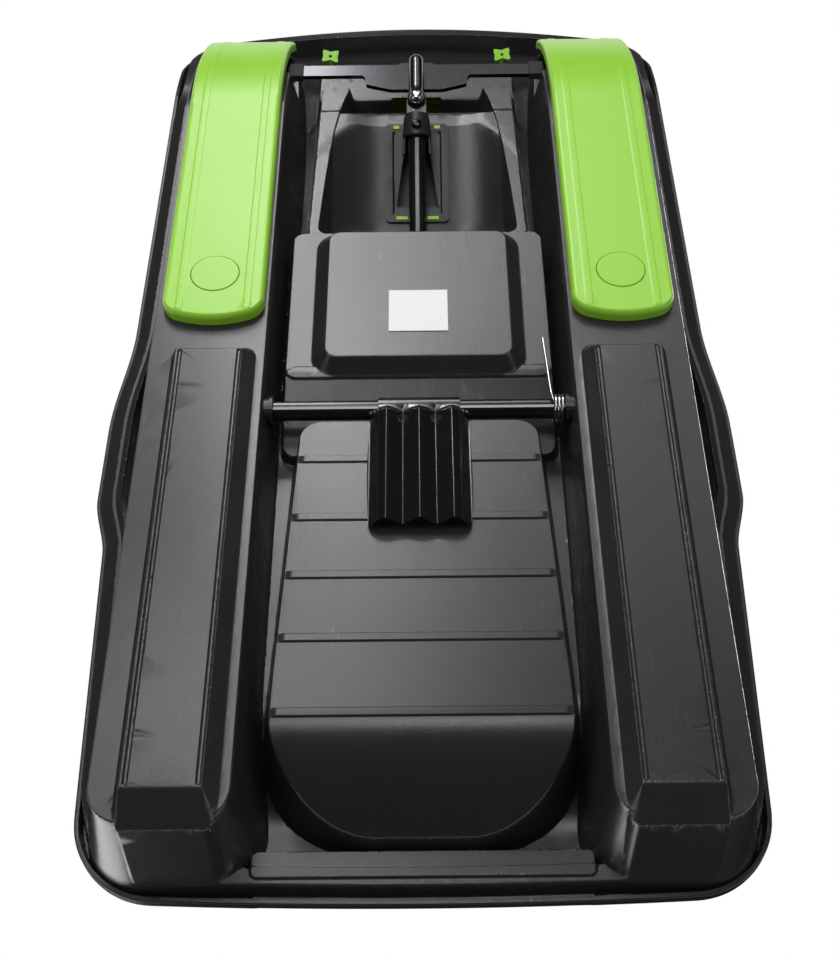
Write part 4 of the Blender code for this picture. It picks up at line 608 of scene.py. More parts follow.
# %% Skin builder
def thin_out(points, tolerance, longest):
    """Keep only the points that the shape of a closed loop needs."""
    count = len(points)
    kept = []
    start = 0
    while start < count:
        kept.append(start)
        end = start + 1
        while end < count:
            chord = points[(end + 1) % count] - points[start]
            length = math.hypot(chord[0], chord[1])
            between = points[start + 1:end + 1] - points[start]
            off = np.abs(between[:, 0] * chord[1] - between[:, 1] * chord[0]) / max(length, 1e-9)
            if length > longest or off.max() > tolerance:
                break
            end += 1
        start = end
    return points[kept]


def trace(distance, centre, half, level=0.0, tolerance=0.0001, longest=0.04, steps=1440):
    """Points of the loop where the distance has that level, found along rays from the centre."""
    angle = np.arange(steps) * 2.0 * math.pi / steps + 1e-4
    ray = np.stack([half[0] * np.cos(angle), half[1] * np.sin(angle)], axis=1)
    near = np.zeros(steps)
    far = np.full(steps, 2.2)
    for _ in range(44):
        middle = (near + far) / 2.0
        inside = distance(centre[0] + ray[:, 0] * middle, centre[1] + ray[:, 1] * middle) < level
        near = np.where(inside, middle, near)
        far = np.where(inside, far, middle)
    points = np.stack([centre[0] + ray[:, 0] * near, centre[1] + ray[:, 1] * near], axis=1)
    return thin_out(points, tolerance, longest)


def triangulate(loops, extra):
    """Triangles that keep every loop as edges and use the extra points."""
    points = [Vector((float(x), float(y))) for loop in loops for x, y in loop]
    edges = []
    first = 0
    for loop in loops:
        count = len(loop)
        edges += [(first + i, first + (i + 1) % count) for i in range(count)]
        first += count
    points += [Vector((float(x), float(y))) for x, y in extra]
    found, _, faces, _, _, _ = delaunay_2d_cdt(points, edges, [], 1, 1e-5)
    return np.array([(p.x, p.y) for p in found]), np.array(faces, dtype=int)


def slopes(height, x, y, reach=0.0003):
    dx = (height(x + reach, y) - height(x - reach, y)) / (2.0 * reach)
    dy = (height(x, y + reach) - height(x, y - reach)) / (2.0 * reach)
    return dx, dy


def edge_pairs(faces):
    """Every edge once, and how many triangles use it."""
    pairs = np.concatenate([faces[:, (0, 1)], faces[:, (1, 2)], faces[:, (2, 0)]])
    return np.unique(np.sort(pairs, axis=1), axis=0, return_counts=True)


def off_form(height, x, y, z):
    dx, dy = slopes(height, x, y)
    return np.abs(height(x, y) - z) / np.sqrt(1.0 + dx * dx + dy * dy)


def turn_along(height, start, end):
    """How much the form's normal turns between two points just inside each edge's ends."""
    normals = []
    for share in (0.15, 0.85):
        at = start + (end - start) * share
        dx, dy = slopes(height, at[:, 0], at[:, 1])
        up = np.column_stack([-dx, -dy, np.ones(len(dx))])
        normals.append(up / np.linalg.norm(up, axis=1)[:, None])
    return np.linalg.norm(normals[0] - normals[1], axis=1)


def skin(loops, holes, height, facet, shortest, rounds):
    """One face of a sheet: triangles over the outline, divided until they follow the height."""
    extra = np.zeros((0, 2))
    for step in range(rounds + 1):
        points, faces = triangulate(loops, extra)
        middle = points[faces].mean(axis=1)
        for _, inside in holes:
            keep = ~inside(middle[:, 0], middle[:, 1])
            faces = faces[keep]
            middle = middle[keep]
        if step == rounds:
            break
        z = height(points[:, 0], points[:, 1])
        pairs, uses = edge_pairs(faces)
        pairs = pairs[uses == 2]
        mid = (points[pairs[:, 0]] + points[pairs[:, 1]]) / 2.0
        size = np.hypot(*(points[pairs[:, 0]] - points[pairs[:, 1]]).T)
        off = off_form(height, mid[:, 0], mid[:, 1], (z[pairs[:, 0]] + z[pairs[:, 1]]) / 2.0)
        turn = turn_along(height, points[pairs[:, 0]], points[pairs[:, 1]])
        turning = (turn > 0.20) | ((turn > 0.07) & (size > 0.012))
        split = mid[(((off > facet) | turning) & (size > shortest)) | (size > 0.05)]
        off = off_form(height, middle[:, 0], middle[:, 1], z[faces].mean(axis=1))
        first, second = points[faces[:, 1]] - points[faces[:, 0]], points[faces[:, 2]] - points[faces[:, 0]]
        area = np.abs(first[:, 0] * second[:, 1] - first[:, 1] * second[:, 0])
        split = np.concatenate([split, middle[(off > facet) & (area > shortest ** 2)]])
        if not len(split):
            break
        extra = np.concatenate([extra, split])
    return points, faces


def rim_edges(faces):
    """Edges used by one triangle only, in that triangle's direction."""
    pairs = np.concatenate([faces[:, (0, 1)], faces[:, (1, 2)], faces[:, (2, 0)]])
    _, first, uses = np.unique(np.sort(pairs, axis=1), axis=0, return_index=True, return_counts=True)
    return pairs[first[uses == 1]]


def corner_normals(points, faces, height, sign):
    """The form's normal at every triangle corner, read a hair inside the triangle so that creases stay crisp.

    A corner of a large flat triangle that still reads the rounding beside it gets the triangle's own normal.
    """
    corner = points[faces]
    inward = corner.mean(axis=1)[:, None, :] - corner
    reach = np.linalg.norm(inward, axis=2)[:, :, None]
    at = (corner + inward * np.minimum(0.0005 / np.maximum(reach, 1e-9), 0.3)).reshape(-1, 2)
    dx, dy = slopes(height, at[:, 0], at[:, 1])
    up = np.column_stack([-dx, -dy, np.ones(len(dx))])
    up = (up / np.linalg.norm(up, axis=1)[:, None]).reshape(-1, 3, 3)
    place = np.dstack([corner, height(corner[:, :, 0], corner[:, :, 1])])
    flat = np.cross(place[:, 1] - place[:, 0], place[:, 2] - place[:, 0])
    flat = flat * np.sign(flat[:, 2:3])
    flat = flat / np.maximum(np.linalg.norm(flat, axis=1), 1e-12)[:, None]
    sides = np.linalg.norm(corner - np.roll(corner, 1, axis=1), axis=2)
    first, second = corner[:, 1] - corner[:, 0], corner[:, 2] - corner[:, 0]
    area = np.abs(first[:, 0] * second[:, 1] - first[:, 1] * second[:, 0])
    thin = np.maximum(area / np.maximum(sides.max(axis=1), 1e-9), 1e-6)
    limit = (0.02 + 0.0009 / thin)[:, None]
    strays = np.linalg.norm(up - flat[:, None, :], axis=2) > limit
    up = np.where(strays[:, :, None], flat[:, None, :], up)
    return (up.reshape(-1, 3) * sign).tolist()


def crossed(loop, lines):
    """The loop with a point added wherever one of the lines crosses it."""
    step = np.roll(loop, -1, axis=0) - loop
    found = [[] for _ in loop]
    for line in lines:
        turn = np.roll(line, -1, axis=0) - line
        gap = line[None, :, :] - loop[:, None, :]
        across = step[:, None, 0] * turn[None, :, 1] - step[:, None, 1] * turn[None, :, 0]
        across = np.where(np.abs(across) < 1e-15, 1e-15, across)
        on_loop = (gap[:, :, 0] * turn[None, :, 1] - gap[:, :, 1] * turn[None, :, 0]) / across
        on_line = (gap[:, :, 0] * step[:, None, 1] - gap[:, :, 1] * step[:, None, 0]) / across
        for i, j in np.argwhere((on_loop > 0.0) & (on_loop < 1.0) & (on_line >= 0.0) & (on_line <= 1.0)):
            found[i].append(on_loop[i, j])
    points = []
    for start, edge, shares in zip(loop, step, found):
        points.append(start)
        length = math.hypot(edge[0], edge[1])
        last = 0.0
        for share in sorted(shares):
            if min(share - last, 1.0 - share) * length > 3e-5:
                points.append(start + share * edge)
                last = share
    return np.array(points)


def sheet_piece(name, border, lower, upper, holes, lower_lines, upper_lines, facet, shortest, rounds):
    """A closed solid between two heights over one outline, with normals from their slopes."""
    corners = []
    triangles = []
    normals = []
    rim_at = []
    every_line = list(lower_lines) + list(upper_lines)
    holes = [(crossed(loop, every_line), inside) for loop, inside in holes]
    for height, lines, flip in ((lower, lower_lines, True), (upper, upper_lines, False)):
        loops = [border] + [loop for loop, _ in holes] + list(lines)
        points, faces = skin(loops, holes, height, facet, shortest, rounds)
        first = len(corners)
        corners += np.column_stack([points, height(points[:, 0], points[:, 1])]).tolist()
        order = faces[:, (0, 2, 1)] if flip else faces
        triangles += (order + first).tolist()
        normals += corner_normals(points, order, height, -1.0 if flip else 1.0)
        rim = rim_edges(faces)
        rim_at.append({(round(points[a][0], 6), round(points[a][1], 6)): first + int(a) for a, _ in rim})
        if flip:
            lower_rim = [(first + int(a), first + int(b)) for a, b in rim]
    for a, b in lower_rim:
        pair = [rim_at[1][(round(corners[k][0], 6), round(corners[k][1], 6))] for k in (a, b)]
        edge = Vector(corners[b]) - Vector(corners[a])
        out = Vector((edge.y, -edge.x, 0.0)).normalized()
        triangles += [(a, b, pair[1]), (a, pair[1], pair[0])]
        normals += [tuple(out)] * 6
    mesh = bpy.data.meshes.new(name)
    mesh.from_pydata(corners, [], triangles)
    mesh.shade_smooth()
    mesh.normals_split_custom_set(normals)
    made = bpy.data.objects.new(name, mesh)
    bpy.context.scene.collection.objects.link(made)
    print(name, len(triangles), "triangles")
    return made


# %% [markdown]
# The hull's sheet gets its outline, its holes and the lines where its forms turn. The column's hole, the crank's
# notch, two slots for the hood's clips and the skis' two pivot bolt holes are cut through it.

# %% Build the hull
def square_hole(x0, x1, y0, y1):
    loop = np.array([(x0, y0), (x1, y0), (x1, y1), (x0, y1)])
    return loop, lambda x, y: box_distance(x, y, x0, x1, y0, y1, 0.0) < 0.0


def round_hole(x0, y0, radius, count=32):
    angle = np.arange(count) * 2.0 * math.pi / count
    loop = np.stack([x0 + radius * np.cos(angle), y0 + radius * np.sin(angle)], axis=1)
    return loop, lambda x, y: np.hypot(x - x0, y - y0) < radius


def notch_hole():
    """Opening for the crank in front of the console, narrower towards the rear."""
    loop = np.array([(-0.030, -0.380), (0.030, -0.380), (0.030, -0.356), (0.012, -0.334), (-0.012, -0.334),
                     (-0.030, -0.356)])

    def inside(x, y):
        half = 0.030 - 0.018 * np.clip((y + 0.356) / 0.022, 0.0, 1.0)
        return (np.abs(x) < half) & (y > -0.380) & (y < -0.334)

    return loop, inside


def straight_line(across, rows):
    """A feature line along the sled, at one place across it."""
    return np.stack([across + 0.0 * rows, rows], axis=1)


def hull_holes():
    made = [square_hole(-0.031, 0.031, -0.303, -0.203), notch_hole()]
    for sign in (-1.0, 1.0):
        made.append(square_hole(sign * 0.106 - 0.0063, sign * 0.106 + 0.0063, -0.4638, -0.4582))
        made.append(round_hole(sign * PIVOT_X, PIVOT_Y, BOLT_HOLE))
    return made


def hull_lines(side):
    """Lines where the forms turn, so that the triangles follow them."""
    w = side * WALL_SHIFT
    lines = []
    for inside in (0.0004, 0.0014, 0.004, 0.0046, 0.0065, 0.009, 0.0125, 0.013, 0.0265, 0.030):
        lines.append(trace(rim_distance, (0.0, 0.0), (HALF_WIDTH, HALF_LENGTH), -inside, 0.00007, 0.02))
    for sign in (-1.0, 1.0):
        def this_base(x, y, s=sign):
            return np.where(x * s > 0.0, base_distance(x, y), 1.0)

        def this_runner(x, y, s=sign):
            return np.where(x * s > 0.0, runner_height(np.maximum(x * s, 0.1), y, side) - side * SHEET, 1.0)

        for out in (-0.0013, 0.0013, 0.007):
            lines.append(trace(this_base, (sign * 0.204, 0.0565), (0.056, 0.5115), out - w))
        for up in (0.00002, 0.0013, 0.0128, 0.0165):
            lines.append(trace(this_runner, (sign * 0.200, 0.321), (0.032, 0.225), up))
    for out in (-0.0013, 0.0013, 0.011, 0.015):
        lines.append(trace(box_top_distance, (0.0, -0.0065), (0.0925, 0.0875), out - w))
    for out in (-0.0013, 0.0013, 0.008):
        lines.append(trace(tub_distance, (0.0, 0.3565), (0.1256, 0.1955), out - w))
    for rib in TUB_RIBS:
        for off in (-0.0046, -0.0030, 0.0030, 0.0046):
            across = np.linspace(-0.124, 0.124, 125)
            across = across[tub_distance(across, rib + off + 0.0 * across) < -0.002]
            lines.append(np.stack([across, rib + off + 0.0 * across], axis=1))
    for out in (0.0, -0.006):
        lines.append(trace(dome_distance, (0.0, -0.2535), (0.100, 0.1315), out + w))
    for out in (0.0, 0.008):
        lines.append(trace(bar_slot_distance, (0.0, -0.402), (0.214, 0.028), out + w))
    return lines


def build_hull():
    border = trace(rim_distance, (0.0, 0.0), (HALF_WIDTH, HALF_LENGTH), tolerance=0.00007, longest=0.02)
    facet = 0.00032
    shortest = 0.0025
    rounds = 6
    return sheet_piece("fine_hull", border,
                       lambda x, y: hull_height(x, y, 0), lambda x, y: hull_height(x, y, 1),
                       hull_holes(), hull_lines(0), hull_lines(1), facet, shortest, rounds)


fine_hull = build_hull()
dress(fine_hull, CHARCOAL)
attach(fine_hull, "sled")
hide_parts("hull")

# %% [markdown]
# Each ski is one green moulding like the hull: a shallow tray with a turned-up tip, two long ribs under
# it, a round pocket for the pivot cap and a longer inner band at the tip. It is made by the same skin
# builder, because the ribs and the rounded edge have to follow the curved tip. The left ski is the right
# one mirrored.

# %% Skis
SKI_THICK = 0.0142
RIB_PROUD = 0.0008
SKI_RIBS = (0.1680, 0.2345)
SKI_MIDDLE = 0.20225
SKI_HALF = 0.05025


def ski_distance(x, y):
    across = np.abs(x - SKI_MIDDLE) - SKI_HALF
    rear = y - 0.053 + 0.013 * ((x - SKI_MIDDLE) / SKI_HALF) ** 2
    tip = -0.511 + 0.012 * smooth((x - 0.168) / 0.020) - y
    corner = np.where(x > SKI_MIDDLE, 0.030, 0.007)
    return np.where(y < 0.0, round_corner(across, tip, corner), round_corner(across, rear, 0.014))


def ski_lower(x, y):
    inside = np.clip(-ski_distance(x, y), 0.0, 0.006)
    edge = 0.006 - np.sqrt(0.006 ** 2 - (0.006 - inside) ** 2)
    rib = 0.0 * x
    for middle in SKI_RIBS:
        rib = np.maximum(rib, smooth((0.0042 - np.abs(x - middle)) / 0.0014))
    from_cap = np.hypot(x - PIVOT_X, y - PIVOT_Y)
    recess = 0.0033 * smooth((0.0247 - from_cap) / 0.0004)
    return curl(y) + np.maximum(edge, RIB_PROUD * (1.0 - rib)) + recess


def ski_upper(x, y):
    inside = -ski_distance(x, y)
    boss = 0.030 - np.hypot(x - PIVOT_X, y - PIVOT_Y)
    foot = 0.016 - np.hypot(x - LINK_PIN_X, y - LINK_PIN_Y)
    full = np.maximum(np.maximum(0.003 - inside, boss), foot)
    return curl(y) + SKI_THICK - (SKI_THICK - 0.004) * smooth(0.5 - full / 0.002)


def ski_lines():
    centre, half = (SKI_MIDDLE, -0.229), (SKI_HALF, 0.282)
    lower = [trace(ski_distance, centre, half, -inside) for inside in (0.0006, 0.0015, 0.003, 0.006)]
    for middle in SKI_RIBS:
        for off in (-0.0042, -0.0028, 0.0028, 0.0042):
            rows = np.linspace(-0.480, 0.030, 40)
            lower.append(straight_line(middle + off, rows))
    for radius in (0.0243, 0.0247):
        lower.append(round_hole(PIVOT_X, PIVOT_Y, radius, 64)[0])
    upper = [trace(ski_distance, centre, half, -inside) for inside in (0.002, 0.004)]
    upper += [round_hole(PIVOT_X, PIVOT_Y, radius, 48)[0] for radius in (0.029, 0.031)]
    return lower, upper


def build_ski():
    border = trace(ski_distance, (SKI_MIDDLE, -0.229), (SKI_HALF, 0.282), longest=0.012, tolerance=0.0001)
    lower, upper = ski_lines()
    return sheet_piece("fine_ski_right", border, ski_lower, ski_upper, [round_hole(PIVOT_X, PIVOT_Y, BOLT_HOLE)],
                       lower, upper, 0.00015, 0.003, 5)


def mirrored_piece(piece, name):
    """The same piece on the other side of the sled, with its normals mirrored too."""
    made = piece.copy()
    made.data = piece.data.copy()
    made.name = name
    bpy.context.scene.collection.objects.link(made)
    normals = [(-n.vector.x, n.vector.y, n.vector.z) for n in piece.data.corner_normals]
    made.data.transform(Matrix.Scale(-1.0, 4, Vector((1.0, 0.0, 0.0))))
    made.data.flip_normals()
    turned_back = []
    for polygon in piece.data.polygons:
        loops = list(polygon.loop_indices)
        turned_back += [normals[k] for k in [loops[0]] + loops[:0:-1]]
    made.data.normals_split_custom_set(turned_back)
    return made


ski_right = build_ski()
dress(ski_right, GREEN)
ski_left = mirrored_piece(ski_right, "fine_ski_left")
for ski, side in ((ski_right, "right"), (ski_left, "left")):
    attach(ski, side + "_ski")
    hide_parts("ski_" + side)

# %% [markdown]
# Turned pieces such as tubes, domes and rings start as one point in edit mode. It is extruded along the
# profile and spun round Z, and the piece is then put in its place.

# %% Modelling helpers
def edit(piece):
    """Open one piece alone in edit mode with everything selected."""
    bpy.ops.object.select_all(action="DESELECT")
    piece.select_set(True)
    bpy.context.view_layer.objects.active = piece
    bpy.ops.object.mode_set(mode="EDIT")
    bpy.ops.mesh.select_all(action="SELECT")


def close_edit(piece, smooth_angle=35.0):
    bpy.ops.mesh.select_all(action="SELECT")
    bpy.ops.mesh.normals_make_consistent(inside=False)
    bpy.ops.object.mode_set(mode="OBJECT")
    bpy.ops.object.shade_smooth_by_angle(angle=math.radians(smooth_angle))
    return piece


def point_piece(name, start):
    """A mesh of one vertex, open in edit mode."""
    bpy.ops.object.select_all(action="DESELECT")
    bpy.ops.mesh.primitive_plane_add(size=0.001, location=(0.0, 0.0, 0.0))
    piece = bpy.context.object
    piece.name = name
    edit(piece)
    bpy.ops.mesh.merge(type="CENTER")
    bpy.ops.transform.translate(value=start)
    return piece


def extrude_along(points):
    for before, after in zip(points, points[1:]):
        step = Vector(after) - Vector(before)
        bpy.ops.mesh.extrude_region_move(TRANSFORM_OT_translate={"value": step})


def turned_piece(name, profile, place, segments=48):
    """A piece spun round Z from (radius, z) points, then placed."""
    points = [(r, 0.0, z) for r, z in profile]
    piece = point_piece(name, points[0])
    extrude_along(points)
    bpy.ops.mesh.select_all(action="SELECT")
    bpy.ops.mesh.spin(steps=segments, angle=2.0 * math.pi, center=(0.0, 0.0, 0.0), axis=(0.0, 0.0, 1.0))
    bpy.ops.mesh.select_all(action="SELECT")
    bpy.ops.mesh.remove_doubles(threshold=1e-6)
    close_edit(piece)
    piece.data.transform(place)
    return piece


def prism_piece(name, outline, depth, place, bevel=0.0, segments=2):
    """A prism over a plan outline, its edges bevelled, then placed."""
    points = [(x, y, 0.0) for x, y in outline]
    piece = point_piece(name, points[0])
    extrude_along(points)
    bpy.ops.mesh.select_all(action="SELECT")
    bpy.ops.mesh.edge_face_add()
    bpy.ops.mesh.extrude_region_move(TRANSFORM_OT_translate={"value": (0.0, 0.0, depth)})
    close_edit(piece)
    if bevel:
        edge = piece.modifiers.new("edge", "BEVEL")
        edge.width = bevel
        edge.segments = segments
        edge.limit_method = "ANGLE"
        bpy.ops.object.modifier_apply(modifier=edge.name)
        bpy.ops.object.shade_smooth_by_angle(angle=math.radians(35.0))
    piece.data.transform(place)
    return piece


def tube_piece(name, path, radius, sides=12, closed=False):
    """A round wire along a path: a curve with a round bevel, turned into a mesh."""
    curve = bpy.data.curves.new(name, "CURVE")
    curve.dimensions = "3D"
    curve.bevel_depth = radius
    curve.bevel_resolution = max(sides // 2 - 2, 1)
    curve.use_fill_caps = True
    line = curve.splines.new("POLY")
    line.points.add(len(path) - 1)
    for point, place in zip(line.points, path):
        point.co = (*place, 1.0)
    line.use_cyclic_u = closed
    piece = bpy.data.objects.new(name, curve)
    bpy.context.scene.collection.objects.link(piece)
    bpy.ops.object.select_all(action="DESELECT")
    piece.select_set(True)
    bpy.context.view_layer.objects.active = piece
    bpy.ops.object.convert(target="MESH")
    piece = bpy.context.object
    bpy.ops.object.shade_smooth_by_angle(angle=math.radians(40.0))
    return piece


def fit_out(piece, paint, body, slot, *replaced):
    """Paint a piece, let it ride on its body and hide the nodes it stands for. The slot is not used."""
    dress(piece, paint)
    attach(piece, body)
    if replaced:
        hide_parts(*replaced)
    return piece


COLUMN_START = Vector((0.0, -0.300, 0.036))
COLUMN_TILT = math.radians(32.0)


def on_column(distance):
    """A place on the steering column's line, with Z along the column."""
    direction = Vector((0.0, math.cos(COLUMN_TILT), math.sin(COLUMN_TILT)))
    turn = Matrix.Rotation(COLUMN_TILT - math.pi / 2.0, 4, "X")
    return Matrix.Translation(COLUMN_START + direction * distance) @ turn


def along_x(x, y, z):
    return Matrix.Translation((x, y, z)) @ Matrix.Rotation(math.pi / 2.0, 4, "Y")


# %% [markdown]
# The steering linkage in the bay: a gloss black column in a bell-shaped strap, the crank with its crushed
# eye and bright dome nut, and the satin tie bar that carries the movement to both skis.

# %% Steering linkage
def build_strap():
    """A bell that closes round the column's lower end, wider towards its open rear."""
    rings = [(-0.004, 0.0105), (-0.004, 0.0132), (0.003, 0.0150), (0.014, 0.0158), (0.022, 0.0162),
             (0.0235, 0.0150), (0.0235, 0.0138), (0.010, 0.0118), (-0.002, 0.0105)]
    profile = [(radius, along) for along, radius in rings + rings[:1]]
    piece = turned_piece("column_strap", profile, on_column(0.010))
    return fit_out(piece, DARK, "sled", "dark", "column_saddle")


def build_console():
    """The dark insert round the column: a raised frame, a recessed panel and a wedge-shaped opening."""
    slope = CEILING_SLOPE

    def panel(x, y):
        frame = smooth((np.maximum(np.abs(x) - 0.0275, np.abs(y + 0.253) - 0.0465)) / 0.002 + 0.5)
        back = CEILING_LOW + slope * np.maximum(y - CEILING_START, 0.0) - 0.0006
        return back - 0.0024 * frame - 0.0002

    opening = np.array([(-0.0125, -0.295), (0.0125, -0.295), (0.024, -0.218), (0.022, -0.215),
                        (-0.022, -0.215), (-0.024, -0.218)])

    def in_opening(x, y):
        return (np.abs(x) < 0.0125 + 0.0115 * (y + 0.295) / 0.077) & (y > -0.295) & (y < -0.215)

    border = trace(lambda x, y: box_distance(x, y, -0.0366, 0.0366, CEILING_START, -0.197, 0.006),
                   (0.0, -0.253), (0.0366, 0.056))
    lines = [trace(lambda x, y: box_distance(x, y, -0.0275, 0.0275, -0.2995, -0.2065, 0.003), (0.0, -0.253),
                   (0.0275, 0.0465), level) for level in (-0.001, 0.001)]
    piece = sheet_piece("console_insert", border, panel, lambda x, y: panel(x, y) + 0.0016,
                        [(opening, in_opening)], lines, lines, 0.0001, 0.002, 3)
    fit_out(piece, DARK, "sled", "dark", "console_frame")
    outline = [(-0.029, -0.300), (0.029, -0.300), (0.029, -0.206), (-0.029, -0.206)]
    duct = prism_piece("column_duct", outline, 0.026, Matrix.Translation((0.0, 0.0, 0.0)))
    tilt = Matrix(((1.0, 0.0, 0.0, 0.0), (0.0, 1.0, 0.0, 0.0), (0.0, slope, 1.0, 0.0), (0.0, 0.0, 0.0, 1.0)))
    lift = Matrix.Translation((0.0, 0.0, CEILING_LOW - slope * CEILING_START + 0.0035))
    duct.data.transform(lift @ tilt)
    edit(duct)
    bpy.ops.mesh.select_all(action="DESELECT")
    bpy.ops.object.mode_set(mode="OBJECT")
    lowest = min(duct.data.polygons, key=lambda p: p.normal.z)
    lowest.select = True
    bpy.ops.object.mode_set(mode="EDIT")
    bpy.ops.mesh.delete(type="FACE")
    bpy.ops.object.mode_set(mode="OBJECT")
    wall = duct.modifiers.new("wall", "SOLIDIFY")
    wall.thickness = 0.0008
    wall.offset = 1.0
    bpy.ops.object.modifier_apply(modifier=wall.name)
    return fit_out(duct, DARK, "sled", "dark")


build_strap()
build_console()

# %% [markdown]
# The crank is one tube that is crushed flat at its rear end and bent down to the column's tongue. Each of its
# rings has another width, thickness and height, so a rule moves the rings of the turned tube.

# %% Crank, strap bolt and strap legs
def build_crank():
    nose = [(0.0, 0.0), (0.0030, 0.0003), (0.0056, 0.0014), (0.0075, 0.0033), (0.0086, 0.0057), (0.0090, 0.0085)]
    body = [(0.0090, 0.0085 + 0.0045 * k) for k in range(1, 21)]
    crank = turned_piece("crank_tube", nose + body + [(0.0, 0.0985)], Matrix.Identity(4), 40)
    for vertex in crank.data.vertices:
        crushed = float(smooth((vertex.co.z - 0.064) / 0.020))
        past_eye = max(vertex.co.z - 0.088, 0.0) / 0.0112
        vertex.co.x *= (1.0 + 0.17 * crushed) * math.sqrt(max(1.0 - past_eye ** 2, 0.0))
        vertex.co.y = vertex.co.y * (1.0 - 0.73 * crushed) + 0.0093 * crushed
    lie = Matrix.Translation((0.0, -0.402, 0.040)) @ Matrix.Rotation(-math.pi / 2.0, 4, "X")
    crank.data.transform(lie)
    return fit_out(crank, BLACK_PAINT, "steering", "black_paint", "crank")


STRAP_LEG = ((0.030, 0.0140, 0.002), (0.044, 0.0146, 0.005), (0.055, 0.0150, 0.008))


def build_strap_parts():
    down = on_column(0.022) @ Matrix.Rotation(-math.pi / 2.0, 4, "X")
    head = [(0.0, 0.0145), (0.0056, 0.0145), (0.0056, 0.0172), (0.0048, 0.0186), (0.0024, 0.0192), (0.0, 0.0193)]
    fit_out(turned_piece("strap_bolt", head, down, 32), SATIN_STEEL, "sled", "steel", "saddle_bolt")
    for side, sign in SIDES:
        path = [on_column(along) @ Vector((sign * across, down_by, 0.0)) for along, across, down_by in STRAP_LEG]
        fit_out(tube_piece("strap_leg_" + side, path, 0.0017, 12), DARK, "sled", "dark")


build_crank()
build_strap_parts()

# %% [markdown]
# The tie bar ends in black sleeves beside the skis. The skis carry posts for its link pins. The insert round
# the column shows green tabs of the hood behind it.

# %% Bar sleeves, ski posts and green tabs
def build_bar_sleeves():
    for side, sign in SIDES:
        outline = [(-0.0082, -0.0118), (0.0082, -0.0118), (0.0082, 0.0118), (-0.0082, 0.0118)]
        place = Matrix.Translation((sign * 0.1423, LINK_PIN_Y, 0.0478))
        fit_out(prism_piece("bar_sleeve_" + side, outline, 0.0092, place, 0.0012), RUBBER, "bar", "rubber")


def build_ski_posts():
    for side, sign in SIDES:
        profile = [(0.0, 0.0265), (0.0080, 0.0265), (0.0080, 0.0490), (0.0073, 0.0497), (0.0, 0.0497)]
        place = Matrix.Translation((sign * LINK_PIN_X, LINK_PIN_Y, 0.0))
        post = turned_piece("ski_post_" + side, profile, place, 32)
        fit_out(post, GREEN, side + "_ski", "green")


def build_green_tabs():
    for end, y, half_x, x in (("front", -0.3040, 0.0036, 0.0236), ("rear", -0.2005, 0.0066, 0.0178)):
        face = CEILING_LOW + CEILING_SLOPE * (y - CEILING_START) - 0.0046
        for side, sign in SIDES:
            outline = [(-half_x, -0.0022), (half_x, -0.0022), (half_x, 0.0022), (-half_x, 0.0022)]
            place = Matrix.Translation((sign * x, y, face)) @ Matrix.Rotation(math.atan(CEILING_SLOPE), 4, "X")
            tab = prism_piece("hood_tab_" + end + "_" + side, outline, 0.0024, place, 0.0007)
            fit_out(tab, GREEN, "sled", "green")


build_bar_sleeves()
build_ski_posts()
build_green_tabs()

# %% [markdown]
# The green hood over the front swells from its foot into an arch, a spine and a cowl in front of the wheel.
# It is a thin double-curved sheet, so the skin builder makes it from its height. Two plugs hold it, and
# their butterfly-shaped ends show under the hull.

# %% Hood and its clips
HOOD_BORDER = (-0.131, 0.131, -0.530, -0.136)


def hood_plan(x, y):
    return box_distance(x, y, *HOOD_BORDER, 0.030)


def hood_lower(x, y):
    ridge = 0.105 + 0.60 * np.maximum(-0.428 - y, 0.0)
    foot = np.minimum(ridge, 0.125 + rim_rise(y)) + SHEET + 0.0024
    share = np.clip(np.abs(x) / 0.131, 0.0, 1.0)
    arch = 0.030 * smooth((y + 0.540) / 0.20) * (1.0 - share ** 2.6)
    spine = 0.009 * smooth((0.052 - np.abs(x)) / 0.016 + 0.5) * smooth((y + 0.490) / 0.16)
    cowl = 0.014 * smooth((y + 0.246) / 0.10) * (1.0 - share ** 2)
    return foot + arch + spine + cowl


def hood_upper(x, y):
    inside = np.clip(-hood_plan(x, y), 0.0, 0.0012)
    return hood_lower(x, y) + 0.0025 - 0.0012 + np.sqrt(0.0012 ** 2 - (0.0012 - inside) ** 2)


def build_hood():
    centre, half = (0.0, -0.333), (0.131, 0.197)
    border = trace(hood_plan, centre, half, longest=0.015)
    lines = [trace(hood_plan, centre, half, -0.0012)]
    for x in (-0.060, -0.052, -0.044, 0.044, 0.052, 0.060):
        rows = np.linspace(-0.488, -0.140, 40)
        lines.append(straight_line(x, rows))
    hood = sheet_piece("fine_hood", border, hood_lower, hood_upper, (), lines[1:], lines, 0.00025, 0.004, 5)
    return fit_out(hood, GREEN, "sled", "green", "front_hood")


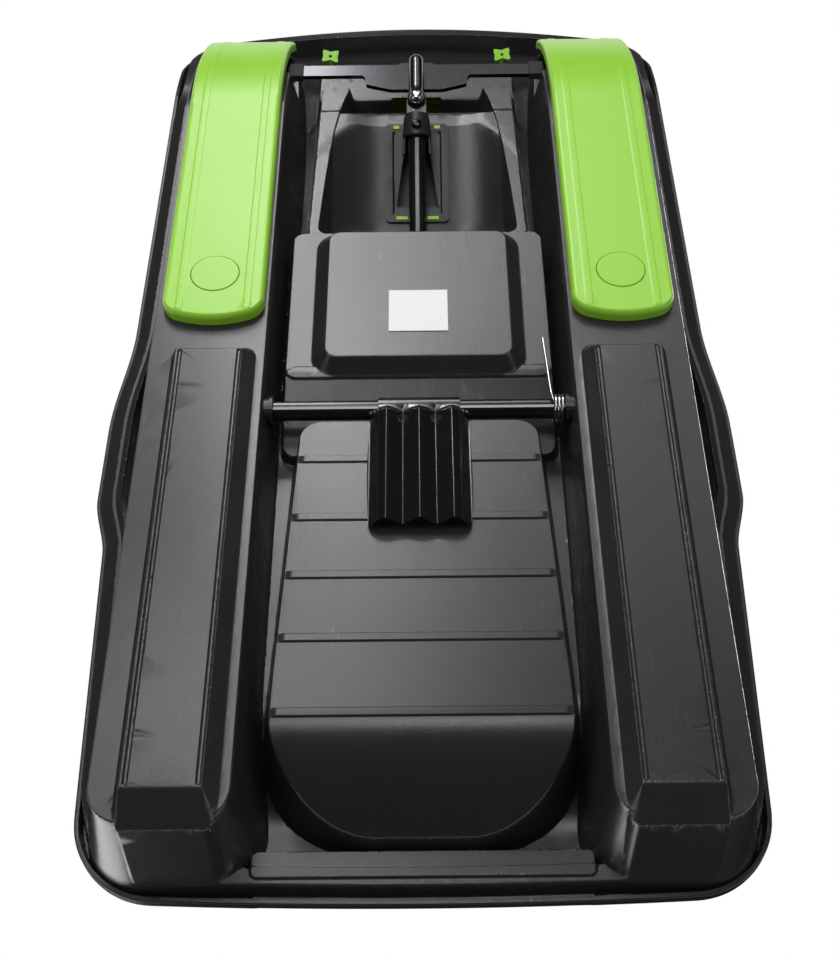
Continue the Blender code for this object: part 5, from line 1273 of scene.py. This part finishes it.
def build_clips():
    half_outline = [(0.0, -0.0050), (0.0040, -0.0064), (0.0092, -0.0074), (0.0098, -0.0040), (0.0088, 0.0005),
                    (0.0100, 0.0064), (0.0084, 0.0086), (0.0042, 0.0072), (0.0, 0.0056)]
    other = [(-x, y) for x, y in reversed(half_outline[1:-1])]
    border = np.array(half_outline + other)
    for side, sign in SIDES:
        clip = sheet_piece("clip_" + side, border, lambda x, y: 0.0 * x, lambda x, y: 0.0034 + 0.0 * x,
                           [round_hole(0.0, 0.0008, 0.0020, 20)], (), (), 0.0002, 0.004, 1)
        lean = Matrix.Rotation(math.radians(26.0), 4, "X") @ Matrix.Rotation(math.radians(-5.0 * sign), 4, "Z")
        clip.data.transform(Matrix.Translation((sign * 0.1062, -0.4625, 0.0800)) @ lean)
        fit_out(clip, GREEN, "sled", "green")
        profile = [(0.0, 0.0845), (0.0030, 0.0845), (0.0030, 0.1315), (0.0, 0.1315)]
        stem = turned_piece("clip_stem_" + side, profile, Matrix.Translation((sign * 0.106, -0.461, 0.0)), 24)
        fit_out(stem, GREEN, "sled", "green")


build_hood()
build_clips()

# %% [markdown]
# The brake claw is a pressed plate with three ridges, welded to a sleeve on the shaft. Each valley starts in
# a round dimple. The pressed folds run into the sleeve's curve, which the skin builder can follow. The
# spring is a round wire wound round the shaft, its leg resting against the shelf beside the box.

# %% Brake
SHAFT_PLACE = (0.147, 0.034)


def claw_fold(x):
    """0 on a ridge and 1 in a valley, with small radii."""
    at = np.abs((np.abs(x) / 0.01525 + 1.0) % 2.0 - 1.0)
    small = 0.08
    swing = np.sqrt(at ** 2 + small ** 2) - np.sqrt((1.0 - at) ** 2 + small ** 2)
    return 0.5 + 0.5 * swing / (math.sqrt(1.0 + small ** 2) - small)


def claw_lower(x, y):
    behind = np.clip(y - SHAFT_PLACE[0], -0.010, 0.010)
    round_part = SHAFT_PLACE[1] - np.sqrt(0.0122 ** 2 - behind ** 2)
    wing = 0.006 * smooth((np.abs(x) - 0.0360) / 0.012)
    pressed = 0.014 + 0.0075 * claw_fold(x) + wing
    dimple = 0.0030 * smooth(1.0 - np.hypot(np.abs(x) - 0.01525, (y - 0.1665) * 0.8) / 0.0062)
    share = smooth((y - 0.149) / 0.013)
    return round_part * (1.0 - share) + pressed * share + dimple


def claw_edge(y):
    """Half the claw's width: narrow at the sleeve, then shoulders that bulge a little."""
    bulge = 0.0018 * np.sin(math.pi * np.clip((y - 0.168) / 0.120, 0.0, 1.0))
    return 0.0385 + 0.0078 * smooth((y - 0.156) / 0.012) + bulge


def build_claw():
    rows = np.concatenate([np.linspace(0.1445, 0.172, 16), np.linspace(0.178, 0.280, 16)])
    side = [(float(claw_edge(y)), y) for y in rows] + [(0.0462, 0.2838)]
    across = np.linspace(0.0430, -0.0430, 61)
    rear = [(x, 0.2868 - 0.0012 * math.cos(2.0 * math.pi * x / 0.0305)) for x in across]
    other = [(-x, y) for x, y in reversed(side)]
    border = np.array(side + rear + other)
    lines = []
    for fold in (-0.0305, -0.01525, 0.0, 0.01525, 0.0305):
        for off in (-0.0030, -0.0012, 0.0, 0.0012, 0.0030):
            run = np.linspace(0.152, 0.284, 50)
            lines.append(straight_line(fold + off, run))
    claw = sheet_piece("fine_claw", border, claw_lower, lambda x, y: claw_lower(x, y) + 0.0022, (), lines, lines,
                       0.00012, 0.0015, 5)
    fit_out(claw, BLACK_PAINT, "brake", "black_paint", "brake_claw")
    ring = [(0.0098, 0.0), (0.0114, 0.0), (0.0121, 0.0007), (0.0121, 0.0763), (0.0114, 0.0770), (0.0098, 0.0770)]
    sleeve = turned_piece("claw_sleeve", ring + ring[:1], along_x(-0.0385, *SHAFT_PLACE), 56)
    fit_out(sleeve, BLACK_PAINT, "brake", "black_paint")
    for name, sign in SIDES:
        for count, (dx, dy) in enumerate(((0.0, 0.0), (0.0034, 0.0012), (-0.0030, -0.0022))):
            bpy.ops.object.select_all(action="DESELECT")
            bpy.ops.mesh.primitive_uv_sphere_add(segments=20, ring_count=12, radius=0.0030)
            bead = bpy.context.object
            bead.name = "weld_bead_%s_%d" % (name, count)
            bpy.ops.object.shade_smooth()
            bead.data.transform(Matrix.Translation((sign * (0.0418 + dx), 0.1560 + dy, 0.0275)))
            fit_out(bead, BLACK_PAINT, "brake", "black_paint")


def build_spring():
    start_x, radius, per_turn = 0.1262, 0.0128, 28
    path = []
    for k in range(int(3.4 * per_turn) + 1):
        a = 2.0 * math.pi * k / per_turn + math.pi
        path.append((start_x + 0.0033 * k / per_turn, SHAFT_PLACE[0] + radius * math.sin(a),
                     SHAFT_PLACE[1] + radius * math.cos(a)))
    _, along, up = path[0]
    leg = [(start_x - 0.0045, along - 0.080, up + 0.0015), (start_x - 0.0010, along - 0.010, up)]
    spring = tube_piece("fine_spring", leg + path, 0.0014, 12)
    return fit_out(spring, BRIGHT_STEEL, "sled", "steel", "brake_spring")


build_claw()
build_spring()

# %% [markdown]
# The steering wheel stands above the console: a round rim with two soft grips, three flat spokes and a hub.

# %% Steering wheel
WHEEL_AT = 0.357
WHEEL_RADIUS = 0.122


def build_wheel():
    place = on_column(WHEEL_AT)
    bpy.ops.object.select_all(action="DESELECT")
    bpy.ops.mesh.primitive_torus_add(major_radius=WHEEL_RADIUS, minor_radius=0.009,
                                     major_segments=120, minor_segments=28)
    rim = bpy.context.object
    rim.name = "wheel_rim"
    bpy.ops.object.shade_smooth()
    rim.data.transform(place)
    fit_out(rim, BLACK_PLASTIC, "steering", "black_plastic", "steering_wheel")
    outline = [(0.004, -0.013), (0.060, -0.0095), (0.118, -0.0105),
               (0.118, 0.0105), (0.060, 0.0095), (0.004, 0.013)]
    for count, turn in enumerate((0.0, 90.0, 180.0)):
        lie = place @ Matrix.Rotation(math.radians(turn), 4, "Z") @ Matrix.Translation((0.0, 0.0, -0.004))
        spoke = prism_piece("wheel_spoke_%d" % count, outline, 0.008, lie, 0.0026, 4)
        fit_out(spoke, BLACK_PLASTIC, "steering", "black_plastic")
    profile = [(0.0, -0.0110), (0.0235, -0.0110), (0.0252, -0.0103), (0.0260, -0.0085), (0.0260, 0.0085),
               (0.0252, 0.0103), (0.0235, 0.0110), (0.0, 0.0110)]
    fit_out(turned_piece("wheel_hub", profile, place, 64), BLACK_PLASTIC, "steering", "black_plastic")
    for side, first in (("right", -81.0), ("left", 198.0)):
        angles = np.radians(np.linspace(first, first + 63.0, 40))
        path = [place @ Vector((WHEEL_RADIUS * math.cos(a), WHEEL_RADIUS * math.sin(a), 0.0)) for a in angles]
        grip = tube_piece("fine_grip_" + side, path, 0.0124, 28)
        fit_out(grip, RUBBER, "steering", "rubber", "wheel_grip_" + side)


build_wheel()
